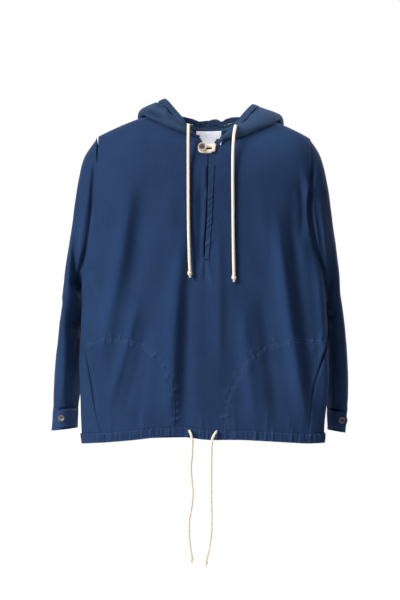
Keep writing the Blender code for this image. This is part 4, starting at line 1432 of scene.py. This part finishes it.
def knot(name, top, size, turn, finish):
    """A tied end: the cord wound round itself, a short tail and a frayed tuft."""
    parts = []
    strand = size * 0.5
    coil = []
    for n in range(25):
        part = n / 24
        angle = turn + part * math.pi * 3.4
        reach = size * (0.16 + 0.42 * smooth(part / 0.15) - 0.34 * smooth((part - 0.86) / 0.14))
        drop = size * (0.30 + 1.15 * part + 0.10 * math.sin(angle + 1))
        coil.append(top + Vector((math.cos(angle) * reach, math.sin(angle) * reach, -drop)))
    parts.append(tube(name + "_coil", coil, strand, finish, 3, 0.0045, 16, 0.0006, 0.0002)[0])
    core = [top + Vector((0, 0, -size * d)) for d in (0.12, 0.7, 1.3, 1.75)]
    lean = Vector((math.cos(turn), math.sin(turn), 0)) * size
    core.append(top + lean * 0.05 + Vector((0, 0, -size * 2.0)))
    core.append(top + lean * 0.1 + Vector((0, 0, -size * 2.3)))
    parts.append(tube(name + "_core", core, size * 0.46, finish, 3, 0.0045, 16, 0.0006, 0.0002)[0])
    foot = core[-1]
    for n in range(22):
        angle = n * 2.4 + turn
        reach = size * 0.40 * math.sqrt((n + 0.5) / 22)
        start = foot + Vector((math.cos(angle) * reach, math.sin(angle) * reach, size * 0.12))
        spread = 1.25 + 0.25 * math.sin(n * 1.7)
        end = foot + Vector((math.cos(angle) * reach * spread, math.sin(angle) * reach * spread, 0))
        end.z -= size * (0.52 + 0.14 * math.sin(n * 3.1))
        middle = start.lerp(end, 0.5) + Vector((0, 0, -size * 0.04))
        bent = (start, middle, end)
        yarn = tube(f"{name}_yarn", bent, size * 0.085, finish, 2, 0.002, 6, size * 0.2, 0.0, 0.5)
        parts.append(yarn[0])
    joined = merge(name, parts)
    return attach(joined, "root")


class ANORAK_OT_cords(bpy.types.Operator):
    """Add the four free cords of the hood and the hem, with their end knots"""

    bl_idname = "anorak.cords"
    bl_label = "Cords and knots"

    def execute(self, context):
        finish = finishes_of(context)["braided_cotton"]
        sizes = context.scene.anorak_sizes
        kinds = (("hood", HOOD_CORD, sizes.hood_cord, 0.75), ("hem", HEM_CORD, sizes.hem_cord, 0.8))
        for kind, routes, width, share in kinds:
            for side in SIDES:
                points = routes[side]
                cord, line = tube(f"braided_{kind}_cord_{side}", points, width / 2, finish)
                foot, turn = Vector(points[-1]), 0.8 + SIDES[side]
                end = knot(f"tied_{kind}_knot_{side}", foot, width * share, turn, finish)
                for piece, node in ((cord, f"{kind}_cord_{side}"), (end, f"{kind}_knot_{side}")):
                    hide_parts(node)
                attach(cord, "root")
                Route(points).length
        return {"FINISHED"}


class ANORAK_OT_body(bpy.types.Operator):
    """Dress the front, the back, the slit's facing, the pocket bags and the hem casings"""

    bl_idname = "anorak.body"
    bl_label = "Body cloth"

    def execute(self, context):
        cloth = shells(context, "navy")
        fine_front = (front_detail, near_pockets(0.010), near_slit)
        tucks = ((low_rim, into_casing, 0.010), (at_shoulder, over_seam, 0.004))
        pieces = (
            ("front", "front_cloth", WALL, 2, front_form, fine_front, (0.54, 0.70), 0.302),
            ("back", "back_cloth", WALL, 2, body_form, (near_hem,), (0.62, 0.70), 0.351),
            ("slit_facing", "rolled_facing", WALL, 4, facing_form, (), (0.011, 0.20), None),
            ("pocket_right", "pocket_bag_right", WALL, 2, body_form, (), (0.17, 0.20), 0.0251),
            ("pocket_left", "pocket_bag_left", WALL, 2, body_form, (), (0.17, 0.20), 0.0257),
            ("hem_front", "hem_casing_front", DOUBLE, 3, hem_form, (), (0.46, 0.020), None),
            ("hem_back", "hem_casing_back", DOUBLE, 3, hem_form, (), (0.76, 0.020), None),
        )
        for node, name, wall, levels, form, finer, flat, area in pieces:
            held = tucks if node in ("front", "back") else ()
            made = (node, name, wall, levels, body_outward, body_chart, form, cloth, "navy_cloth")
            piece = dress(*made, finer=finer, tucks=held)
        return {"FINISHED"}


class ANORAK_OT_sleeves(bpy.types.Operator):
    """Dress the sleeves, the cuffs and the cuff tabs"""

    bl_idname = "anorak.sleeves"
    bl_label = "Sleeves and cuffs"

    def execute(self, context):
        cloth = shells(context, "navy")
        circle = 2 * math.pi * ARM_RADIUS

        def near_cuff(middles):
            return middles[:, 2] < -0.520

        def near_armhole(middles):
            return (middles[:, 2] > -0.350) & (np.abs(middles[:, 0]) < 0.262)

        def at_armhole(point):
            return point[2] > -0.345

        def at_wrist(point):
            return point[2] < -0.540

        def below_tip(point):
            return smooth((-0.066 - point[2]) / 0.060)

        fine = (near_cuff, near_armhole)
        pieces = (
            ("sleeve", WALL, 2, sleeve_form, fine, (0.26, 0.54), 0.129),
            ("cuff", DOUBLE, 3, cuff_form, (), (0.215, 0.046), None),
            ("tab", WALL, 3, tab_form, (), (0.072, 0.036), 0.0024),
        )
        for side, sign in SIDES.items():
            out, chart = sleeve_outward(side), sleeve_chart(side)

            def under_panel(point):
                low = below_tip(point)
                inward = out(Vector(point)) * -UNDER_PANEL * low
                return (inward.x - sign * (0.0006 + 0.0026 * low), inward.y, 0.0006 * low)

            def back_up(point):
                low = below_tip(point)
                outward = out(Vector(point)) * (UNDER_PANEL * low - 0.0012)
                return (outward.x - sign * 0.0050 * low, outward.y, 0)

            tucks = ((at_armhole, under_panel, 0.0135), (at_armhole, back_up, 0.0065))
            tucks += ((at_wrist, into_casing, 0.010),)
            for kind, wall, levels, form, finer, flat, area in pieces:
                held = tucks if kind == "sleeve" else ()
                made = (f"{kind}_{side}", f"{kind}_cloth_{side}", wall, levels, out, chart, form, cloth)
                piece = dress(*made, "navy_cloth", circle, finer, held)
        return {"FINISHED"}


class ANORAK_OT_hood(bpy.types.Operator):
    """Dress the hood's two halves and its casing"""

    bl_idname = "anorak.hood"
    bl_label = "Hood"

    def execute(self, context):
        cloth = shells(context, "hood")

        def outward(point):
            return Vector((point.x - NECK_MIDDLE, point.y, 0)).normalized()

        def chart(points):
            turn = np.arctan2(points[:, 0] - NECK_MIDDLE, -points[:, 1])
            return turn * 0.10, points[:, 2] + 0.5 * np.hypot(points[:, 0], points[:, 1])

        pieces = (
            ("hood_right", "hood_cloth_right", WALL, 3, hood_form, (0.28, 0.32), 0.0679),
            ("hood_left", "hood_cloth_left", WALL, 3, hood_form, (0.30, 0.34), 0.0798),
            ("hood_casing", "hood_casing_cloth", DOUBLE, 3, casing_form, (0.60, 0.0143), None),
        )
        edge = tree_of(HOOD_EDGE)

        def at_casing(point):
            return edge.find(point)[2] < (0.0280 if point[1] > 0.060 else 0.0095)

        def into_edge(point):
            return (edge.find(point)[0] - Vector(point)).normalized() * 0.0050

        def turn(point):
            return math.degrees(math.atan2(abs(point[0] - NECK_MIDDLE), -point[1]))

        def at_start(point):
            return turn(point) < 31 and not at_casing(point)

        def to_start(point):
            end = HOOD_ENDS["right" if point[0] < NECK_MIDDLE else "left"]
            return (Vector(end) - Vector(point)) * 0.94

        def at_centre(point):
            return abs(point[0] - NECK_MIDDLE) < 0.003 and point[1] > 0.02

        def to_centre(point):
            move = NECK_MIDDLE - point[0]
            return (move + math.copysign(0.0008, move), 0, 0)

        def at_neck(point):
            return not (at_start(point) or at_casing(point) or at_centre(point)) and point[1] < 0.085

        def on_neck(point):
            return (0, 0, -0.0042)

        def at_lip(point):
            return turn(point) < 34 and point[2] < edge.find(point)[0].z - 0.002

        def on_lip(point):
            return (0, 0.0008, -0.0056)

        for node, name, wall, levels, form, flat, area in pieces:
            tucks = ((at_start, to_start, 0.014), (at_casing, into_edge, 0.012))
            tucks += ((at_neck, on_neck, 0.008), (at_centre, to_centre, 0.004))
            if node == "hood_casing":
                tucks = ((at_lip, on_lip, 0.009),)
            made = (node, name, wall, levels, outward, chart, form, cloth, "hood_cloth")
            piece = dress(*made, tucks=tucks, sag=neck_lumps)
        return {"FINISHED"}


class ANORAK_OT_label(bpy.types.Operator):
    """Dress the bare neck label and sew it on"""

    bl_idname = "anorak.label"
    bl_label = "Neck label"

    def execute(self, context):
        made = finishes_of(context)
        tape = (made["satin_tape"],) * 3

        def outward(point):
            return Vector((0, -1, 0))

        def form(points, across, up):
            return 0.0005 * np.sin(across * 150) + 0.0004 * np.sin(up * 210), np.zeros(len(up))

        def chart(points):
            return points[:, 0], points[:, 2]

        cut = ("neck_label", "bare_label", 0.0007, 3, outward, chart, form, tape, "white_label")
        piece = dress(*cut)
        rows = rim_stitches(piece, lambda place: True, 0.0018, 0.0026, 0.0018)
        stitched("label_stitches", rows, made["white_thread"], 0.0004, 0.00022)
        return {"FINISHED"}


class ANORAK_OT_stitching(bpy.types.Operator):
    """Sew the seams, casings, pockets, cuffs and tabs, and work the eyelets"""

    bl_idname = "anorak.stitching"
    bl_label = "Stitching and eyelets"

    def execute(self, context):
        made = finishes_of(context)
        sizes = context.scene.anorak_sizes
        pitch, length = sizes.pitch, sizes.stitch
        cloth = bpy.data.objects

        def upper(place):
            return place.z > casing_seam(place.x) - CASING * 0.4

        def mouth(place):
            side = "right" if place.x < 0 else "left"
            low, high = MOUTHS[side]
            return abs(place.x) > 0.185 and low < place.z < high

        def everywhere(place):
            return True

        rims = [(f"hem_stitches_{end}", f"hem_casing_{end}", upper, 0.0022) for end in ("front", "back")]
        rims.append(("hood_casing_stitches", "hood_casing_cloth", everywhere, 0.0020))
        rims.append(("facing_stitches", "rolled_facing", everywhere, 0.0018))
        for kind in ("cuff", "tab"):
            for side in SIDES:
                rims.append((f"{kind}_stitches_{side}", f"{kind}_cloth_{side}", everywhere, 0.0024))
        rims.append(("mouth_stitches", "front_cloth", mouth, 0.0065))
        for name, piece, keep, inset in rims:
            thread = "hood_thread" if "hood" in name else "navy_thread"
            rows = rim_stitches(cloth[piece], keep, inset, pitch, length)
            stitched(name, rows, made[thread])
        front = Skin(cloth["front_cloth"])
        for side, line in POCKET_LINE.items():
            rows = []
            for row in POCKET_ROWS:
                points = [(x, 0.0, z) for x, z in inset_line(line, row * SIDES[side])]
                rows += laid_stitches(front, points, pitch, length)
            stitched(f"pocket_stitches_{side}", rows, made["navy_thread"])
        holes = (
            ("hood", HOOD_CORD, "hood_casing_cloth", sizes.hood_cord, "hood_thread", "hood_cloth"),
            ("hem", HEM_CORD, "hem_casing_front", sizes.hem_cord, "navy_thread", "navy_cloth"),
        )
        for kind, routes, piece, width, thread, slot in holes:
            skin = Skin(cloth[piece])
            for side in SIDES:
                rows = eyelet(skin, routes[side], width / 2 + 0.0003)
                made_eyelet = stitched(f"{kind}_eyelet_{side}", rows, made[thread], 0.0009, 0.0006)
        return {"FINISHED"}


def inset_line(line, inset):
    """Points along a line, set over to its left hand by the inset."""
    route = Route([(x, 0.0, z) for x, z in line]).spaced(0.002)
    moved = []
    for n, point in enumerate(route):
        ahead = (route[min(n + 1, len(route) - 1)] - route[max(n - 1, 0)]).normalized()
        moved.append((point.x - ahead.z * inset, point.z + ahead.x * inset))
    return moved


def eyelet(skin, route, inner):
    """Stitches set all round the hole where a cord comes out, lying on the cloth."""
    count, reach = 22, 0.0018
    start, second = Vector(route[0]), Vector(route[1])
    ahead = (second - start).normalized()
    place, facing = skin.drop(start + ahead * 0.02, -ahead)
    side = facing.orthogonal().normalized()
    other = facing.cross(side)
    found = []
    for n in range(count):
        turn = 2 * math.pi * n / count
        out = side * math.cos(turn) + other * math.sin(turn)
        seat, normal = skin.nearest(place + out * (inner + reach / 2))
        found.append((seat + facing * 0.0002, out, facing, reach))
    return found


def towards(node, hint):
    """The middle of a CAD node and the thin way through it, on the side of the hint."""
    points = coordinates(frame["nodes"][node].data)
    middle = points.mean(axis=0)
    spread, ways = np.linalg.eigh(np.cov((points - middle).T))
    facing = Vector(ways[:, 0])
    if facing.dot(Vector(hint)) < 0:
        facing.negate()
    face = max(Vector(p - middle).dot(facing) for p in points)
    return Vector(middle), facing, face


def inset_top(piece, steps):
    """Inset the upper face of a turned piece in steps, each with its width and its depth."""
    bpy.context.tool_settings.mesh_select_mode = (False, False, True)
    only(piece)
    bpy.ops.object.mode_set(mode="EDIT")
    bpy.ops.mesh.select_all(action="DESELECT")
    bpy.ops.object.mode_set(mode="OBJECT")
    for polygon in piece.data.polygons:
        polygon.select = polygon.normal.z > 0.9
    bpy.ops.object.mode_set(mode="EDIT")
    for width, depth in steps:
        bpy.ops.mesh.inset(thickness=width, depth=depth)
    bpy.ops.object.mode_set(mode="OBJECT")


def sewn_button(name, node, hint, radius, thick, rim, pale, horn, thread, shank=0.0):
    """A four-hole button with a raised rim and a dished middle, and the thread that holds it."""
    bpy.ops.object.select_all(action="DESELECT")
    bpy.ops.mesh.primitive_cylinder_add(vertices=48, radius=radius, depth=thick)
    button = bpy.context.active_object
    button.name = button.data.name = name
    inset_top(button, ((rim * 0.5, 0.0), (rim * 0.5, -thick * 0.30), (radius * 0.30, -thick * 0.07)))
    settings = {"width": rim * 0.2, "segments": 3, "limit_method": "ANGLE", "angle_limit": math.radians(20)}
    apply_modifier(button, "BEVEL", "turned_edges", **settings)
    hole, apart = radius * 0.105, radius * 0.24
    drills = []
    for x, y in ((-1, -1), (1, -1), (1, 1), (-1, 1)):
        bpy.ops.object.select_all(action="DESELECT")
        place = (x * apart, y * apart, 0)
        bpy.ops.mesh.primitive_cylinder_add(vertices=14, radius=hole, depth=thick * 3, location=place)
        drills.append(bpy.context.active_object)
    drill = merge("drill", drills)
    apply_modifier(button, "BOOLEAN", "holes", operation="DIFFERENCE", object=drill, solver="EXACT")
    bpy.data.objects.remove(drill)
    only(button)
    bpy.ops.object.shade_smooth_by_angle(angle=math.radians(30))
    points = coordinates(button.data)
    reach = np.hypot(points[:, 0], points[:, 1])
    set_attribute(button.data, "pale", pale * smooth((reach - (radius - rim * 1.1)) / (rim * 0.3)))
    button.data.materials.clear()
    button.data.materials.append(horn)
    parts = [button]
    floor = thick * 0.13
    for n, turn in enumerate((math.pi / 4, 3 * math.pi / 4)):
        for beside_it in (-0.5, 0.5):
            x, y = math.cos(turn), math.sin(turn)
            off = Vector((-y, x, 0)) * beside_it * hole * 0.9
            end = apart * math.sqrt(2)
            rise = floor + hole * (0.5 + 0.8 * n)
            profile = ((-end, -thick * 0.3), (-end * 0.97, floor), (-end * 0.6, rise), (0, rise * 1.05))
            profile += ((end * 0.6, rise), (end * 0.97, floor), (end, -thick * 0.3))
            bar = [Vector((x * a, y * a, z)) + off for a, z in profile]
            strand = tube(f"{name}_thread", bar, hole * 0.5, thread, 2, 0.0012, 8, hole * 0.5, hole * 0.06)
            parts.append(strand[0])
    if shank:
        stem = [(0, 0, -thick * 0.4), (0, 0, -thick / 2 - shank * 0.5), (0, 0, -thick / 2 - shank)]
        parts.append(tube(f"{name}_shank", stem, 0.0013, thread, 2, 0.0016, 14, 0.0004, 0.0002)[0])
    button = merge(name, parts)
    middle, facing, face = towards(node, hint)
    place = middle + facing * (face - thick / 2)
    button.data.transform(Matrix.Translation(place) @ facing.to_track_quat("Z", "Y").to_matrix().to_4x4())
    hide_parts(node)
    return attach(button, "root")


class ANORAK_OT_fastenings(bpy.types.Operator):
    """Add the neck button with its cord loop and tie, and the two cuff buttons"""

    bl_idname = "anorak.fastenings"
    bl_label = "Buttons and loop"

    def execute(self, context):
        made = finishes_of(context)
        horn, thread, braid = made["streaked_horn"], made["dark_thread"], made["braided_cotton"]
        sizes = (0.00875, 0.0036, 0.0026, 1.0)
        sewn_button("horn_button_neck", "button_neck", (0, -1, 0), *sizes, horn, thread, 0.0066)
        for side, sign in SIDES.items():
            sizes = (0.0062, 0.0028, 0.0015, 0.35)
            sewn_button(f"horn_button_{side}", f"button_{side}", (sign, -1, 0), *sizes, horn, thread)
        for name, node, line, width in (
            ("cord_loop", "neck_loop", LOOP, 0.0078),
            ("cord_tie", "loop_tie", LOOP_TIE, 0.0068),
        ):
            solid = frame["nodes"][node].data
            corners = [v.co for v in solid.vertices]
            tree = BVHTree.FromPolygons(corners, [tuple(p.vertices) for p in solid.polygons])
            points = []
            for x, z in line:
                hit = tree.ray_cast(Vector((x, -0.3, z)), Vector((0, 1, 0)))[0]
                if hit is not None:
                    points.append((x, hit.y + width / 2, z))
            piece = tube(name, points, width / 2, braid)[0]
            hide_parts(node)
            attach(piece, "root")
        return {"FINISHED"}


def hang_lamp(name, lamp, aim, away, distance=1.0):
    """Add a lamp at its distance from the place it points at."""
    light = bpy.data.objects.new(name, lamp)
    bpy.context.scene.collection.objects.link(light)
    light.location = aim + away * distance
    light.rotation_euler = (-away).to_track_quat("-Z", "Y").to_euler()


class ANORAK_OT_stage(bpy.types.Operator):
    """Add the floor, the soft lights and the pale surroundings"""

    bl_idname = "anorak.stage"
    bl_label = "Stage"

    def execute(self, context):
        stage = context.scene.anorak_stage
        bpy.ops.object.select_all(action="DESELECT")
        place = (0, 0, stage.floor)
        bpy.ops.mesh.primitive_circle_add(vertices=96, radius=1.9, fill_type="NGON", location=place)
        floor = context.active_object
        floor.name = "floor"
        floor.data.materials.append(floor_material((0.9, 0.9, 0.9)))
        aim = Vector((0, 0, -0.35))
        for name, azimuth, height, distance, size, power in LAMPS:
            lamp = bpy.data.lights.new(name, "AREA")
            lamp.shape, lamp.size, lamp.energy = "DISK", size, power
            turn, lift = math.radians(azimuth), math.radians(height)
            level = math.cos(lift)
            away = Vector((math.sin(turn) * level, -math.cos(turn) * level, math.sin(lift)))
            hang_lamp(name, lamp, aim, away, distance)
        for name, place, away, power, across, soft in SPOTS:
            lamp = bpy.data.lights.new(name, "SPOT")
            lamp.energy, lamp.spot_size = power, math.radians(across)
            lamp.spot_blend, lamp.shadow_soft_size = 0.8, soft
            hang_lamp(name, lamp, Vector(place), Vector(away))
        world = bpy.data.worlds.new("studio")
        context.scene.world = world
        world.use_nodes = True
        nodes, links = world.node_tree.nodes, world.node_tree.links
        light, seen = nodes["Background"], nodes.new("ShaderNodeBackground")
        light.inputs["Color"].default_value = (0.93, 0.96, 1.0, 1)
        light.inputs["Strength"].default_value = 0.09
        seen.inputs["Color"].default_value = (1, 1, 1, 1)
        seen.inputs["Strength"].default_value = 1.0
        path, mix = nodes.new("ShaderNodeLightPath"), nodes.new("ShaderNodeMixShader")
        links.new(path.outputs["Is Camera Ray"], mix.inputs[0])
        links.new(light.outputs[0], mix.inputs[1])
        links.new(seen.outputs[0], mix.inputs[2])
        links.new(mix.outputs[0], nodes["World Output"].inputs["Surface"])
        context.scene.view_settings.view_transform = "Standard"
        return {"FINISHED"}


class ANORAK_PT_panel(bpy.types.Panel):
    """The pieces of the anorak pullover, in the order in which they are made"""

    bl_idname = "ANORAK_PT_panel"
    bl_label = "Anorak pullover"
    bl_space_type = "VIEW_3D"
    bl_region_type = "UI"
    bl_category = "Anorak"

    def draw(self, context):
        for operator in OPERATORS:
            self.layout.operator(operator.bl_idname)
        for group in (context.scene.anorak_finish, context.scene.anorak_sizes, context.scene.anorak_stage):
            for name in group.__annotations__:
                self.layout.prop(group, name)


OPERATORS = (
    ANORAK_OT_camera,
    ANORAK_OT_cords,
    ANORAK_OT_body,
    ANORAK_OT_sleeves,
    ANORAK_OT_hood,
    ANORAK_OT_label,
    ANORAK_OT_stitching,
    ANORAK_OT_fastenings,
    ANORAK_OT_stage,
)
GROUPS = {"anorak_finish": AnorakFinish, "anorak_sizes": AnorakSizes, "anorak_stage": AnorakStage}


def register():
    for made in (*GROUPS.values(), *OPERATORS, ANORAK_PT_panel):
        bpy.utils.register_class(made)
    for name, group in GROUPS.items():
        setattr(bpy.types.Scene, name, bpy.props.PointerProperty(type=group))


def unregister():
    for name in GROUPS:
        delattr(bpy.types.Scene, name)
    for made in (ANORAK_PT_panel, *OPERATORS[::-1], *GROUPS.values()):
        bpy.utils.unregister_class(made)


def main():
    register()
    bpy.ops.anorak.camera()
    bpy.ops.anorak.cords()
    bpy.ops.anorak.body()
    bpy.ops.anorak.sleeves()
    bpy.ops.anorak.hood()
    bpy.ops.anorak.label()
    bpy.ops.anorak.stitching()
    bpy.ops.anorak.fastenings()
    bpy.ops.anorak.stage()


if __name__ == "__main__":
    main()
